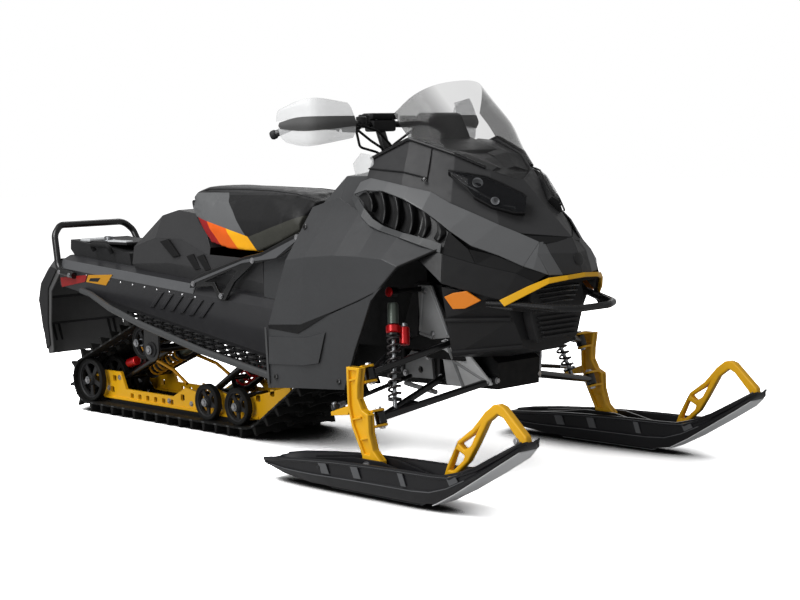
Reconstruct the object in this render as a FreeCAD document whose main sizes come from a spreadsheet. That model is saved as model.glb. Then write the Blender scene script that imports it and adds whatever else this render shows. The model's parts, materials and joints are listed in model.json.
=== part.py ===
"""Snowmobile with a short track, two steered skis and a raised cockpit.

Millimetres. +X forward, +Y to the rider's left, +Z up. The origin is on the ground,
midway between the ski tips and the back of the snow flap.
"""
import FreeCAD, Part
import math
import os
import re

import Sketcher
from FreeCAD import Placement, Rotation, Vector

doc = FreeCAD.newDocument("snowmobile")
sheet = doc.addObject("Spreadsheet::Sheet", "Sizes")

# Driving dimensions: name, value and what it is
SIZES = (
    ("ski_stance", 1080, "distance between the ski centre lines"),
    ("ski_tip_x", 1490, "ski tips, ahead of the origin"),
    ("ski_tail_x", 420, "ski tails, ahead of the origin"),
    ("ski_half_width", 68, "half the width of a ski"),
    ("ski_wall", 9, "thickness of a ski's side walls"),
    ("ski_sole", 12, "thickness of a ski's sole"),
    ("ski_bend_x", 1137, "where the skis start to curl up"),
    ("ski_tip_height", 234, "top of the ski tips"),
    ("ski_side_height", 104, "top of the ski side walls beside the pivot"),
    ("runner_height", 14, "how far the steel runner holds the ski off the ground"),
    ("runner_width", 12, "width of the steel runner"),
    ("loop_thickness", 24, "thickness of the ski loop"),
    ("pivot_x", 878, "ski pivot bolt, ahead of the origin"),
    ("pivot_height", 92, "ski pivot bolt above the ground"),
    ("pivot_bolt_radius", 7, "radius of the ski pivot bolt"),
    ("spindle_y", "=ski_stance / 2", "centre of a spindle's leg"),
    ("spindle_thickness", 38, "thickness of a spindle's leg"),
    ("steer_axis_y", 488, "ball joints of a spindle, from the centre line"),
    ("lower_ball_x", 853, "lower ball joint"),
    ("lower_ball_z", 222, "lower ball joint"),
    ("upper_ball_x", 812, "upper ball joint"),
    ("upper_ball_z", 350, "upper ball joint"),
    ("ball_radius", 17, "radius of the ball joint housings"),
    ("ball_height", 38, "height of the ball joint housings"),
    ("ear_thickness", 7, "thickness of the spindle's ears"),
    ("joint_gap", 0.4, "running clearance at pins and ball joints"),
    ("steer_lean", "=(lower_ball_x - upper_ball_x) / (upper_ball_z - lower_ball_z)", "lean of the steering axis"),
    ("arm_radius", 11, "radius of the suspension arm tubes"),
    ("tie_radius", 8, "radius of a tie rod"),
    ("tie_radius_eye", 12, "radius of a tie rod's eye"),
    ("tie_eye_height", 18, "height of a tie rod's eye"),
    ("tie_arm_x", 711, "tie rod's outer end"),
    ("tie_arm_z", 247, "tie rod's outer end"),
    ("tie_inner_x", 668, "tie rod's inner end"),
    ("tie_inner_y", 178, "tie rod's inner end"),
    ("tie_inner_z", 296, "tie rod's inner end"),
    ("track_width", 381, "width of the track"),
    ("belt_thickness", 7, "thickness of the track's belt"),
    ("lug_height", 32, "height of a track lug"),
    ("lug_root", 16, "thickness of a lug at the belt"),
    ("lug_tip", 9, "thickness of a lug at its tip"),
    ("track_pitches", 45, "number of lug pitches round the track"),
    ("rear_wheel_x", -1170, "rear axle"),
    ("rear_wheel_radius", 85, "radius of the rear wheels"),
    ("idler_x", -800, "upper idler axle"),
    ("idler_z", 300, "upper idler axle"),
    ("idler_radius", 67, "radius of the bogie wheels and upper idlers"),
    ("drive_x", 136, "drive axle"),
    ("drive_z", 333, "drive axle"),
    ("drive_radius", 88, "radius of the drive sprockets"),
    ("approach_x", -195, "where the track leaves the ground"),
    ("approach_radius", 170, "bend of the track where it leaves the ground"),
    ("bogie_rear_x", -414, "rear bogie axle"),
    ("bogie_front_x", -238, "front bogie axle"),
    ("wheel_y", "=track_width / 2 - 30.5", "centre of the outer wheels"),
    ("wheel_width", 26, "width of a wheel's tyre"),
    ("rim_depth", 13, "depth of a wheel's tyre and rim"),
    ("web_thickness", 9, "thickness of a wheel's web"),
    ("axle_radius", 10, "radius of the skid axles"),
    ("front_arm_top_x", -110, "front arm's upper axle"),
    ("front_arm_top_z", 345, "front arm's upper axle"),
    ("rear_arm_top_x", -689, "rear arm's upper axle"),
    ("rear_arm_top_z", 283, "rear arm's upper axle"),
    ("bracket_radius", 46, "radius of the brackets at the rear arm"),
    ("keel_half_width", 96, "half the width of the bulkhead's keel"),
    ("tower_y", 200, "outer face of the bulkhead's towers"),
    ("shock_top_x", 750, "upper eye of a front shock"),
    ("shock_top_y", 328, "upper eye of a front shock"),
    ("shock_top_z", 578, "upper eye of a front shock"),
    ("rail_y", "=wheel_y - 38", "centre of a rail"),
    ("rail_thickness", 12, "thickness of a rail"),
    ("shoe_height", 13, "height of the slider shoes"),
    ("tunnel_half_width", "=track_width / 2 + 14.5", "half the width of the tunnel"),
    ("tunnel_wall", 4, "thickness of the tunnel's sheet"),
    ("tunnel_rear_x", -1300, "rear end of the tunnel"),
    ("tunnel_front_x", 292, "front end of the tunnel"),
    ("tunnel_rear_z", 600, "upper bend of the tunnel at its rear end"),
    ("tunnel_front_z", 485, "upper bend of the tunnel at its front end"),
    ("tunnel_bevel", 30, "height of the bevel along the tunnel"),
    ("tunnel_crown", 18, "rise of the tunnel's top above its bevel"),
    ("board_zero_z", 314, "height of the running boards at the origin"),
    ("board_slope", 8.36, "fall of the running boards towards the front, in degrees"),
    ("board_thickness", 6, "thickness of the running boards"),
    ("board_rail_radius", 12, "radius of the rail along a running board"),
    ("board_half_width", 400, "outer rail of the boards at the footwell"),
    ("pod_half_width", "=tunnel_half_width - 19", "half the width of the storage pod and console"),
    ("deck_half_width", "=tunnel_half_width - 67", "half the width of the rear deck"),
    ("lamp_half_width", "=tunnel_half_width - 85", "half the width of the tail lamp"),
    ("flap_wall", 8, "thickness of the snow flap"),
    ("flap_half_width", "=tunnel_half_width - 8", "half the width of the snow flap"),
    ("overall_rear_x", -1490, "rearmost point of the snow flap"),
    ("bumper_radius", 14, "radius of the rear bumper's tube"),
    ("bumper_y", "=tunnel_half_width - 21", "rear bumper, from the centre line"),
    ("bumper_x", -1366, "rear bumper's crossbar"),
    ("bumper_z", 736, "rear bumper's crossbar"),
    ("bumper_grip", 280, "straight length of the rear bumper's crossbar"),
    ("panel_wall", 6, "thickness of the body panels"),
    ("seat_half_width", "=tunnel_half_width - 17", "half the width of the seat at its base"),
    ("seat_top_half_width", 112, "half the width of the seat at its top"),
    ("brace_thickness", 12, "thickness of the side braces"),
    ("screen_wall", 4, "thickness of the windshield"),
    ("column_x", 368, "steering column under the bar clamp"),
    ("column_z", 1075, "steering column under the bar clamp"),
    ("column_rake", 22, "lean of the steering column, in degrees"),
    ("column_radius", 16, "radius of the steering column"),
    ("column_length", 330, "length of the steering column"),
    ("well_depth", 390, "reach of the column's well below the bar"),
    ("bar_radius", 11, "radius of the handlebar"),
    ("grip_radius", 17, "radius of the grips"),
)

for row, (alias, value, note) in enumerate(SIZES, start=1):
    sheet.set(f"A{row}", str(value))
    sheet.set(f"B{row}", note)
    sheet.setAlias(f"A{row}", alias)
doc.recompute()

# Flat sides of a bar, of a wheel's tyre and of a hub
BAR_SIDES = 6
WHEEL_SIDES = 16
SMALL_WHEEL_SIDES = 12
HUB_SIDES = 6

ALIAS = re.compile("|".join(sorted((rf"\b{name}\b" for name, value, note in SIZES), key=len, reverse=True)))


def size(expression):
    """The value of an expression in the sheet's sizes."""
    return float(sheet.evalExpression(str(expression)))


def bound(expression):
    """The expression as an object outside the sheet writes it."""
    return ALIAS.sub(lambda found: f"Sizes.{found.group()}", str(expression))


def spot(point):
    """A vector from three expressions."""
    return Vector(*(size(part) for part in point))


def plate(name, plane, corners, low, high, holes=()):
    """A flat plate: an outline on an origin plane, padded from low to high along its normal.

    Side outlines are on XZ_Plane as (x, z), plans on XY_Plane as (x, y) and cross
    sections on YZ_Plane as (y, z). Holes are outlines that are pocketed right through.
    """
    body = doc.addObject("PartDesign::Body", name)
    start = f"-1 * ({high})" if plane == "XZ_Plane" else str(low)
    outline = sketch(body, f"{name}_outline", plane, corners, start)
    pad = body.newObject("PartDesign::Pad", f"{name}_pad")
    pad.Profile = outline
    pad.setExpression("Length", bound(f"({high}) - ({low})"))
    for index, hole in enumerate(holes):
        window = sketch(body, f"{name}_hole_{index}", plane, hole, start)
        pocket = body.newObject("PartDesign::Pocket", f"{name}_pocket_{index}")
        pocket.Profile = window
        pocket.Reversed = True
        pocket.Type = "ThroughAll"
    doc.recompute()
    return body


def sketch(body, name, plane, corners, start="0"):
    """A closed outline of straight lines whose corners follow the sheet."""
    drawing = body.newObject("Sketcher::SketchObject", name)
    support = next(item for item in body.Origin.OriginFeatures if item.Role == plane)
    drawing.AttachmentSupport = [(support, "")]
    drawing.MapMode = "FlatFace"
    drawing.setExpression("AttachmentOffset.Base.z", bound(start))
    spots = [(size(across), size(up)) for across, up in corners]
    count = len(spots)
    for index, (across, up) in enumerate(spots):
        following = spots[(index + 1) % count]
        drawing.addGeometry(Part.LineSegment(Vector(across, up, 0), Vector(*following, 0)), False)
    drawing.addConstraint([Sketcher.Constraint("Coincident", index, 2, (index + 1) % count, 1)
                           for index in range(count)])
    for index, expressions in enumerate(corners):
        for kind, expression, value in zip(("DistanceX", "DistanceY"), expressions, spots[index]):
            key = drawing.addConstraint(Sketcher.Constraint(kind, -1, 1, index, 1, value))
            drawing.setExpression(f"Constraints[{key}]", bound(expression))
    return drawing


def between(item, start, end):
    """Stand a primitive on the start point, with its axis towards the end point."""
    low, high = spot(start), spot(end)
    item.Height = (high - low).Length
    item.Placement = Placement(low, Rotation(Vector(0, 0, 1), high - low))
    return item


def pin(name, start, end, radius):
    """A round pin between two points."""
    bar = doc.addObject("Part::Cylinder", name)
    bar.setExpression("Radius", bound(radius))
    return between(bar, start, end)


def rod(name, start, end, radius, sides=BAR_SIDES):
    """A bar between two points, with flat sides that stand for a round one."""
    bar = doc.addObject("Part::Prism", name)
    bar.Polygon = sides
    bar.setExpression("Circumradius", bound(radius))
    return between(bar, start, end)


def feature(name, shape):
    """A document object that holds a finished shape."""
    item = doc.addObject("Part::Feature", name)
    item.Shape = shape
    return item


def bent_route(points, bend, chords):
    """The points of a route whose corners are replaced by short chords of a bend."""
    route = [points[0]]
    for before, here, after in zip(points, points[1:], points[2:]):
        back = (before - here).normalize()
        ahead = (after - here).normalize()
        half = back.getAngle(ahead) / 2
        reach = min(bend / math.tan(half), 0.45 * min((before - here).Length, (after - here).Length))
        centre = here + (back + ahead).normalize() * (reach / math.cos(half))
        radius = reach * math.tan(half)
        first, last = here + back * reach - centre, here + ahead * reach - centre
        turn = first.getAngle(last)
        axis = first.cross(last)
        for step in range(chords + 1):
            spoke = Rotation(axis, math.degrees(turn * step / chords)).multVec(first)
            route.append(centre + spoke.normalize() * radius)
    return route + [points[-1]]


def tube(name, route, radius, bend=40, chords=2, sides=BAR_SIDES):
    """A bar bent along a route of points, mitred at the chords of its bends."""
    points = bent_route([spot(point) for point in route], size(bend), chords)
    rings = []
    along = points[1] - points[0]
    side = along.cross(Vector(0, 0, 1)) if abs(along.normalize().z) < 0.9 else along.cross(Vector(0, 1, 0))
    for index, point in enumerate(points):
        back = (point - points[index - 1]).normalize() if index else None
        ahead = (points[index + 1] - point).normalize() if index < len(points) - 1 else None
        along = back or ahead
        mitre = (back + ahead).normalize() if back and ahead else along
        side = (side - along * side.dot(along)).normalize()
        up = along.cross(side)
        ring = []
        for number in range(sides):
            turn = 2 * math.pi * number / sides
            spoke = side * math.cos(turn) + up * math.sin(turn)
            spoke = spoke * size(radius)
            ring.append(point + spoke - along * (spoke.dot(mitre) / along.dot(mitre)))
        rings.append(ring)
    return feature(name, stacked(rings))


def stacked(rings):
    """A solid through closed outlines with the same number of points, of flat faces."""
    faces = [polygon(rings[0]), polygon(rings[-1])]
    for low, high in zip(rings, rings[1:]):
        for index in range(len(low)):
            following = (index + 1) % len(low)
            corners = [low[index], low[following], high[following], high[index]]
            faces += flat_faces(corners)
    solid = Part.Solid(Part.Shell(faces))
    return solid.reversed() if solid.Volume < 0 else solid


def flat_faces(corners):
    """One face for four points in a plane, or else two triangles; none for points that meet."""
    first, second, third, fourth = corners
    kept = [point for index, point in enumerate(corners) if (point - corners[index - 1]).Length > 0.01]
    if len(kept) < 3:
        return []
    if len(kept) == 3:
        return [polygon(kept)]
    normal = (third - first).cross(fourth - second)
    if abs((second - first).dot(normal.normalize())) < 1e-7:
        return [polygon(corners)]
    return [polygon([first, second, third]), polygon([first, third, fourth])]


def skin(name, rows, wall):
    """A panel of even thickness under a surface that is drawn through rows of points."""
    outer = [[spot(point) for point in row] for row in rows]
    triangles = surface_triangles(outer)
    normals = {}
    for corners in triangles:
        normal = face_normal(outer, corners)
        for corner in corners:
            normals[corner] = normals.get(corner, Vector()) + normal
    inner = [list(row) for row in outer]
    for (line, place), normal in normals.items():
        inner[line][place] = outer[line][place] - Vector(normal).normalize() * size(wall)
    faces = [polygon([outer[line][place] for line, place in corners]) for corners in triangles]
    faces += [polygon([inner[line][place] for line, place in reversed(corners)]) for corners in triangles]
    for start, end in rim(triangles):
        first, second = outer[start[0]][start[1]], outer[end[0]][end[1]]
        under, beside = inner[start[0]][start[1]], inner[end[0]][end[1]]
        if first.x > second.x:
            faces += [polygon([first, under, beside]), polygon([first, beside, second])]
        else:
            faces += [polygon([first, under, second]), polygon([under, beside, second])]
    solid = Part.Solid(Part.Shell(faces))
    return feature(name, solid.reversed() if solid.Volume < 0 else solid)


def surface_triangles(rows):
    """The triangles between neighbouring rows, without those that have no area.

    Rows that cross the middle of the machine get the same triangles on both sides.
    """
    found = []
    last = len(rows[0]) - 1
    crosses_middle = abs(rows[0][0].y + rows[0][-1].y) < 0.01
    for line in range(len(rows) - 1):
        for place in range(last):
            low, right = (line, place), (line, place + 1)
            up, over = (line + 1, place), (line + 1, place + 1)
            halves = (low, right, over), (low, over, up)
            if crosses_middle and place >= last / 2:
                halves = (low, right, up), (right, over, up)
            for corners in halves:
                if face_normal(rows, corners).Length > 1:
                    found.append(corners)
    return found


def face_normal(rows, corners):
    first, second, third = (rows[line][place] for line, place in corners)
    return (second - first).cross(third - first)


def polygon(points):
    return Part.Face(Part.makePolygon([*points, points[0]]))


def rim(triangles):
    """The edges that only one triangle has, in that triangle's direction."""
    edges = {(corners[side], corners[(side + 1) % 3]) for corners in triangles for side in range(3)}
    return [edge for edge in edges if (edge[1], edge[0]) not in edges]


def loft(name, sections):
    """A solid with straight sides between closed outlines of points."""
    return feature(name, stacked([[spot(point) for point in section] for section in sections]))


def share_point(start, end, share):
    """The point at a share of the way between two points."""
    return tuple(f"({low}) + (({high}) - ({low})) * {share}" for low, high in zip(start, end))


def opposite(name, source):
    """The mirror image on the other side of the machine."""
    mirror = doc.addObject("Part::Mirroring", name)
    mirror.Source = source
    mirror.Normal = Vector(0, 1, 0)
    mirror.Base = Vector(0, 0, 0)
    return mirror


def fuse(name, pieces):
    joined = doc.addObject("Part::MultiFuse", name)
    joined.Shapes = list(pieces)
    joined.Refine = True
    return joined


def cut(name, base, tool):
    left = doc.addObject("Part::Cut", name)
    left.Base = base
    left.Tool = tool
    left.Refine = True
    return left


def common(name, first, second):
    shared = doc.addObject("Part::Common", name)
    shared.Base = first
    shared.Tool = second
    shared.Refine = True
    return shared


SUB_PARTS = {}


def sub_part(label, *pieces):
    """One named piece of the machine; several pieces stay separate solids in it."""
    if len(pieces) == 1:
        item = pieces[0]
    else:
        item = doc.addObject("Part::Compound", f"{label}_set")
        item.Links = list(pieces)
    item.Label = label
    SUB_PARTS[label] = item
    return item


def both_sides(label, piece):
    """A piece and its mirror image in one sub-part."""
    return sub_part(label, piece, opposite(f"{label}_left", piece))


def right_and_left(label, piece):
    """A piece and its mirror image as two sub-parts."""
    sub_part(f"{label}_right", piece)
    return sub_part(f"{label}_left", opposite(f"{label}_mirror", piece))


def bend_z(x, rise="0"):
    """Height of the tunnel's upper bend at a place along it."""
    share = f"(({x}) - tunnel_rear_x) / (tunnel_front_x - tunnel_rear_x)"
    return f"tunnel_rear_z + (tunnel_front_z - tunnel_rear_z) * ({share}) + {rise}"


def board_z(x, rise="0"):
    """Height of the running boards' top face at a place along them."""
    return f"board_zero_z - tan(board_slope) * ({x}) + {rise}"


UNDER_BOARD = "-board_thickness / cos(board_slope)"

# Track and what runs inside it
REAR_WHEEL_Z = "lug_height + belt_thickness + rear_wheel_radius"
BOGIE_Z = "lug_height + belt_thickness + idler_radius"


def loop_circles(offset):
    """The circles that the track wraps, counterclockwise seen from the right side."""
    grow = size(offset)
    return [(size("approach_x"), size("lug_height + belt_thickness + approach_radius"),
             size("approach_radius") + grow),
            (size("drive_x"), size("drive_z"), size("drive_radius") + grow),
            (size("idler_x"), size("idler_z"), size("idler_radius") + grow),
            (size("rear_wheel_x"), size(REAR_WHEEL_Z), size("rear_wheel_radius") + grow)]


def loop_spans(circles):
    """For each circle, where the belt comes on to it and leaves it, as angles."""
    leaves = []
    for (x, z, radius), (next_x, next_z, next_radius) in zip(circles, circles[1:] + circles[:1]):
        away = math.atan2(next_z - z, next_x - x)
        tilt = math.acos((radius - next_radius) / math.hypot(next_x - x, next_z - z))
        leaves.append(away - tilt)
    return list(zip(leaves[-1:] + leaves[:-1], leaves))


def on_circle(circle, angle):
    x, z, radius = circle
    return Vector(x + radius * math.cos(angle), 0, z + radius * math.sin(angle))


def belt_wire(offset):
    """The belt's line at an offset from the wheels, of straight runs and arcs."""
    circles = loop_circles(offset)
    edges = []
    spans = loop_spans(circles)
    for index, (circle, (onto, off)) in enumerate(zip(circles, spans)):
        turn = (off - onto) % (2 * math.pi)
        start, end = on_circle(circle, onto), on_circle(circle, onto + turn)
        edges.append(Part.Arc(start, on_circle(circle, onto + turn / 2), end).toShape())
        following = (index + 1) % len(circles)
        edges.append(Part.LineSegment(end, on_circle(circles[following], spans[following][0])).toShape())
    return Part.Wire(edges)


def inside_outline(offset, chords=6):
    """The belt's inner outline: straight runs, and chords that touch each wheel from outside."""
    circles = loop_circles(offset)
    points = []
    for (x, z, radius), (onto, off) in zip(circles, loop_spans(circles)):
        turn = (off - onto) % (2 * math.pi)
        steps = max(2, round(chords * turn / math.pi * 1.6))
        reach = radius / math.cos(turn / steps / 2)
        points += [on_circle((x, z, reach), onto + turn * (step + 0.5) / steps) for step in range(steps)]
    return Part.makePolygon([*points, points[0]])


def belt_place(line, distance):
    """The point at a distance along the belt's line, and the direction out of the loop there."""
    left = distance % line.Length
    for edge in line.Edges:
        if left <= edge.Length:
            where = edge.getParameterByLength(left)
            along = edge.tangentAt(where)
            return edge.valueAt(where), Vector(along.z, 0, -along.x)
        left -= edge.Length
    raise RuntimeError("the belt's line is shorter than it says")


def lug_outline(line, shift):
    """The belt's outer outline with its lugs, shifted along the belt by a share of a pitch."""
    count = int(size("track_pitches"))
    pitch = line.Length / count
    half_root, half_tip = size("lug_root / 2"), size("lug_tip / 2")
    belt, tip = size("belt_thickness / 2"), size("belt_thickness / 2 + lug_height")
    steps = ((-half_root, belt), (-half_tip, tip), (half_tip, tip), (half_root, belt))
    points = []
    for number in range(count):
        middle = (number + shift) * pitch
        for along, height in steps:
            point, outward = belt_place(line, middle + along)
            points.append(point + outward * height)
        point, bent = belt_place(line, middle + pitch / 2)
        if bent.getAngle(outward) > 0.01:
            points.append(point + bent * belt)
    return Part.makePolygon([*points, points[0]])


def track():
    """A belt with three rows of lugs; the middle row stands half a pitch further on."""
    line = belt_wire("belt_thickness / 2")
    inside = inside_outline("0.1")
    width = size("track_width")
    shares = ((-0.5, -0.19, 0.0), (-0.19, 0.19, 0.5), (0.19, 0.5, 0.0))
    rows = []
    for low, high, shift in shares:
        face = Part.Face(lug_outline(line, shift)).cut(Part.Face(inside))
        slab = face.extrude(Vector(0, (high - low) * width, 0))
        slab.translate(Vector(0, low * width, 0))
        rows.append(slab)
    whole = rows[0].multiFuse(rows[1:])
    return feature("track_shape", whole.Solids[0])


sub_part("track", track())


def disc(name, sides, radius, low, high):
    """A many-sided disc about the Y axis."""
    item = doc.addObject("Part::Prism", name)
    item.Polygon = sides
    item.setExpression("Circumradius", bound(radius))
    item.setExpression("Height", bound(f"({high}) - ({low})"))
    item.Placement = Placement(Vector(0, size(low), 0), Rotation(Vector(1, 0, 0), -90))
    return item


def wheel_shape(name, radius, spokes):
    """A wheel about the origin: tyre, dished web with windows, and hub."""
    half = "wheel_width / 2"
    sides = SMALL_WHEEL_SIDES if radius == "idler_radius" else WHEEL_SIDES
    tyre = disc(f"{name}_tyre", sides, radius, f"-{half}", half)
    hub = disc(f"{name}_hub", HUB_SIDES, "axle_radius + 9", f"-{half}", f"{half} + 3")
    if not spokes:
        return tyre
    dish = disc(f"{name}_dish", sides, f"{radius} - rim_depth", f"-{half} + web_thickness", half)
    body = cut(f"{name}_dished", tyre, dish)
    low, high = size("axle_radius + 16"), size(f"{radius} - rim_depth - 7")
    windows = []
    for number in range(spokes):
        middle = 2 * math.pi * number / spokes
        spread = 0.62 * math.pi / spokes
        corners = [(low, middle - spread * 0.6), (high, middle - spread), (high, middle + spread),
                   (low, middle + spread * 0.6)]
        outline = polygon([Vector(reach * math.cos(turn), -size(half) - 1, reach * math.sin(turn))
                           for reach, turn in corners])
        windows.append(feature(f"{name}_window_{number}", outline.extrude(Vector(0, size("wheel_width") + 2, 0))))
    return fuse(f"{name}_wheel", [cut(f"{name}_web", body, fuse(f"{name}_windows", windows)), hub])


WHEELS = {}


def wheel(name, x, y, z, radius, spokes=5):
    """A copy of the wheel of that size, with its dished side away from the centre line."""
    if (radius, spokes) not in WHEELS:
        WHEELS[radius, spokes] = wheel_shape(f"wheel_{len(WHEELS)}", radius, spokes)
        doc.recompute()
    centre = spot((x, y, z))
    turn = Rotation(Vector(0, 0, 1), 180 if centre.y < 0 else 0)
    item = feature(name, WHEELS[radius, spokes].Shape)
    item.Placement = Placement(centre, turn).multiply(item.Placement)
    return item


def wheels_on_axle(name, x, z, radius, half_length, inner_y="48", spokes=5):
    """Four wheels on a shaft that crosses the skid."""
    pieces = [rod(f"{name}_shaft", (x, f"-({half_length})", z), (x, half_length, z), "axle_radius")]
    for side, sign in (("right", "-1"), ("left", "1")):
        pieces.append(wheel(f"{name}_{side}", x, f"{sign} * wheel_y", z, radius, spokes))
        if inner_y:
            pieces.append(wheel(f"{name}_{side}_inner", x, f"{sign} * {inner_y}", z, radius, 0))
    return fuse(f"{name}_shape", pieces)


rear_axle = sub_part("rear_axle", wheels_on_axle("rear_axle", "rear_wheel_x", REAR_WHEEL_Z,
                                                 "rear_wheel_radius", "wheel_y + 22"))
bogies = sub_part("bogie_wheels",
                  wheels_on_axle("bogie_rear", "bogie_rear_x", BOGIE_Z, "idler_radius", "wheel_y + 20", ""),
                  wheels_on_axle("bogie_front", "bogie_front_x", BOGIE_Z, "idler_radius", "wheel_y + 20", ""))
sub_part("upper_idlers", wheels_on_axle("upper_idlers", "idler_x", "idler_z", "idler_radius",
                                        "tunnel_half_width - tunnel_wall", ""))


def drive_axle():
    """The driven shaft with two toothed sprockets inside the front of the track."""
    teeth = 7
    pieces = [rod("drive_shaft", ("drive_x", "-(tunnel_half_width - tunnel_wall)", "drive_z"),
                  ("drive_x", "tunnel_half_width - tunnel_wall", "drive_z"), "axle_radius + 3")]
    for number, middle in enumerate(("-70", "70")):
        corners = []
        for tooth in range(teeth):
            for share, depth in ((0, 1), (0.28, 1), (0.42, 22), (0.86, 22)):
                turn = 360 * (tooth + share) / teeth
                corners.append((f"drive_x + (drive_radius - {depth}) * cos({turn})",
                                f"drive_z + (drive_radius - {depth}) * sin({turn})"))
        pieces.append(plate(f"drive_sprocket_{number}", "XZ_Plane", corners, f"{middle} - 18", f"{middle} + 18"))
    return fuse("drive_axle_shape", pieces)


sub_part("drive_axle", drive_axle())

RAIL_BOTTOM = "lug_height + belt_thickness + shoe_height"


def rails():
    """The two skid rails, high at the rear wheels and at the front arm, with lightening holes."""
    outline = (("rear_wheel_x - 18", "138"), ("rear_wheel_x - 18", "110"), ("rear_wheel_x + 34", RAIL_BOTTOM),
               ("approach_x - 30", RAIL_BOTTOM), ("approach_x + 40", f"{RAIL_BOTTOM} + 12"),
               ("approach_x + 212", "168"), ("approach_x + 206", "196"), ("approach_x + 30", "150"),
               ("approach_x - 60", "122"), ("approach_x - 230", "120"), ("approach_x - 300", "164"),
               ("approach_x - 400", "138"), ("approach_x - 480", "97"), ("approach_x - 790", "97"),
               ("approach_x - 822", "163"), ("rear_wheel_x + 46", "163"))
    holes = [square_hole(f"approach_x - {back}", f"{RAIL_BOTTOM} + 22", "11")
             for back in range(470, 800, 80)]
    holes += [square_hole(f"approach_x - {back}", f"{RAIL_BOTTOM} + {up}", "13")
              for back, up in ((300, 84), (330, 42), (865, 82), (-60, 62))]
    rail = plate("rail", "XZ_Plane", outline, "-rail_y - rail_thickness / 2", "-rail_y + rail_thickness / 2",
                 holes)
    return cut("rail_bored", cut("rail_bored_behind", rail, rear_axle), bogies)


def square_hole(x, z, half):
    return ((f"{x} - {half}", f"{z} - {half}"), (f"{x} + {half}", f"{z} - {half}"),
            (f"{x} + {half}", f"{z} + {half}"), (f"{x} - {half}", f"{z} + {half}"))


both_sides("rails", rails())
both_sides("slider_shoes", plate(
    "slider_shoe", "XZ_Plane",
    (("rear_wheel_x + 96", RAIL_BOTTOM), ("rear_wheel_x + 96", "lug_height + belt_thickness"),
     ("approach_x - 30", "lug_height + belt_thickness"), ("approach_x - 30", RAIL_BOTTOM)),
    "-rail_y - 16", "-rail_y + 16"))


def skid_arms():
    """The front and rear arms between the rails and the tunnel, with their cross tubes."""
    top_y = "tunnel_half_width - tunnel_wall"
    pieces = []
    for name, foot_x, foot_z, top_x, top_z in (
            ("front_arm", "approach_x - 300", "118", "front_arm_top_x", "front_arm_top_z"),
            ("rear_arm", "approach_x - 830", "140", "rear_arm_top_x", "rear_arm_top_z")):
        pieces.append(rod(f"{name}_foot", (foot_x, "-rail_y + rail_thickness / 2", foot_z),
                          (foot_x, "rail_y - rail_thickness / 2", foot_z), "axle_radius + 4"))
        pieces.append(rod(f"{name}_top", (top_x, f"-({top_y})", top_z), (top_x, top_y, top_z), "axle_radius + 6"))
        for side in ("-1", "1"):
            pieces.append(rod(f"{name}_leg", (foot_x, f"{side} * (rail_y - 38)", foot_z),
                              (top_x, f"{side} * (rail_y - 18)", top_z), "axle_radius + 3"))
    for side, sign in (("right", "-1"), ("left", "1")):
        pieces.append(hanger(f"arm_bracket_{side}", sign))
        pieces.append(rod(f"arm_boss_{side}", ("rear_arm_top_x", f"{sign} * ({top_y})", "rear_arm_top_z"),
                          ("rear_arm_top_x", f"{sign} * ({top_y} + 16)", "rear_arm_top_z"), "26"))
    return pieces


def hanger(name, side):
    """A rounded plate that hangs from the running board and carries the rear arm's axle."""
    corners = [("rear_arm_top_x - bracket_radius", board_z("rear_arm_top_x - bracket_radius", UNDER_BOARD)),
               ("rear_arm_top_x - bracket_radius", "rear_arm_top_z")]
    for turn in (225, 270, 315):
        corners.append((f"rear_arm_top_x + bracket_radius * cos({turn})",
                        f"rear_arm_top_z + bracket_radius * sin({turn})"))
    corners += [("rear_arm_top_x + bracket_radius", "rear_arm_top_z"),
                ("rear_arm_top_x + bracket_radius", board_z("rear_arm_top_x + bracket_radius", UNDER_BOARD))]
    inner = "tunnel_half_width - tunnel_wall"
    low, high = (f"-({inner}) - 8", f"-({inner})") if side == "-1" else (inner, f"{inner} + 8")
    return plate(name, "XZ_Plane", corners, low, high)


arms = skid_arms()
skid_arm_set = sub_part("skid_arms", fuse("front_arm_shape", arms[:4]), fuse("rear_arm_shape", arms[4:]))


def shock(name, bottom, top, spring_radius, body_radius, spring_from=0.12, spring_to=0.78, coils=6,
          sides=BAR_SIDES):
    """A damper with a coil spring shown as a ribbed sleeve, from eye to eye."""
    low, high = spot(bottom), spot(top)
    length = (high - low).Length
    profile = [(0, body_radius * 0.5), (length * spring_from, body_radius * 0.5)]
    step = length * (spring_to - spring_from) / coils
    for coil in range(coils):
        base = length * spring_from + coil * step
        profile += [(base, spring_radius * 0.74), (base + step * 0.5, spring_radius)]
    profile += [(length * spring_to, spring_radius * 0.74), (length * spring_to, body_radius),
                (length * 0.95, body_radius), (length, body_radius * 0.5)]
    rings = []
    for along, radius in profile:
        turns = [2 * math.pi * number / sides for number in range(sides)]
        rings.append([Vector(radius * math.cos(turn), radius * math.sin(turn), along) for turn in turns])
    item = feature(name, stacked(rings))
    item.Placement = Placement(low, Rotation(Vector(0, 0, 1), high - low))
    return item


def skid_shock(name, bottom, top, spring_radius, body_radius):
    """A shock seated on the skid's cross tubes."""
    return cut(f"{name}_seated", shock(name, bottom, top, spring_radius, body_radius, coils=4), skid_arm_set)


sub_part("skid_shocks",
         skid_shock("centre_shock", ("approach_x - 290", "0", "126"), ("front_arm_top_x", "0", "front_arm_top_z"),
                    30, 20),
         skid_shock("rear_shock", ("approach_x - 828", "0", "140"), ("rear_arm_top_x", "0", "rear_arm_top_z"),
                    34, 22))

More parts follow.
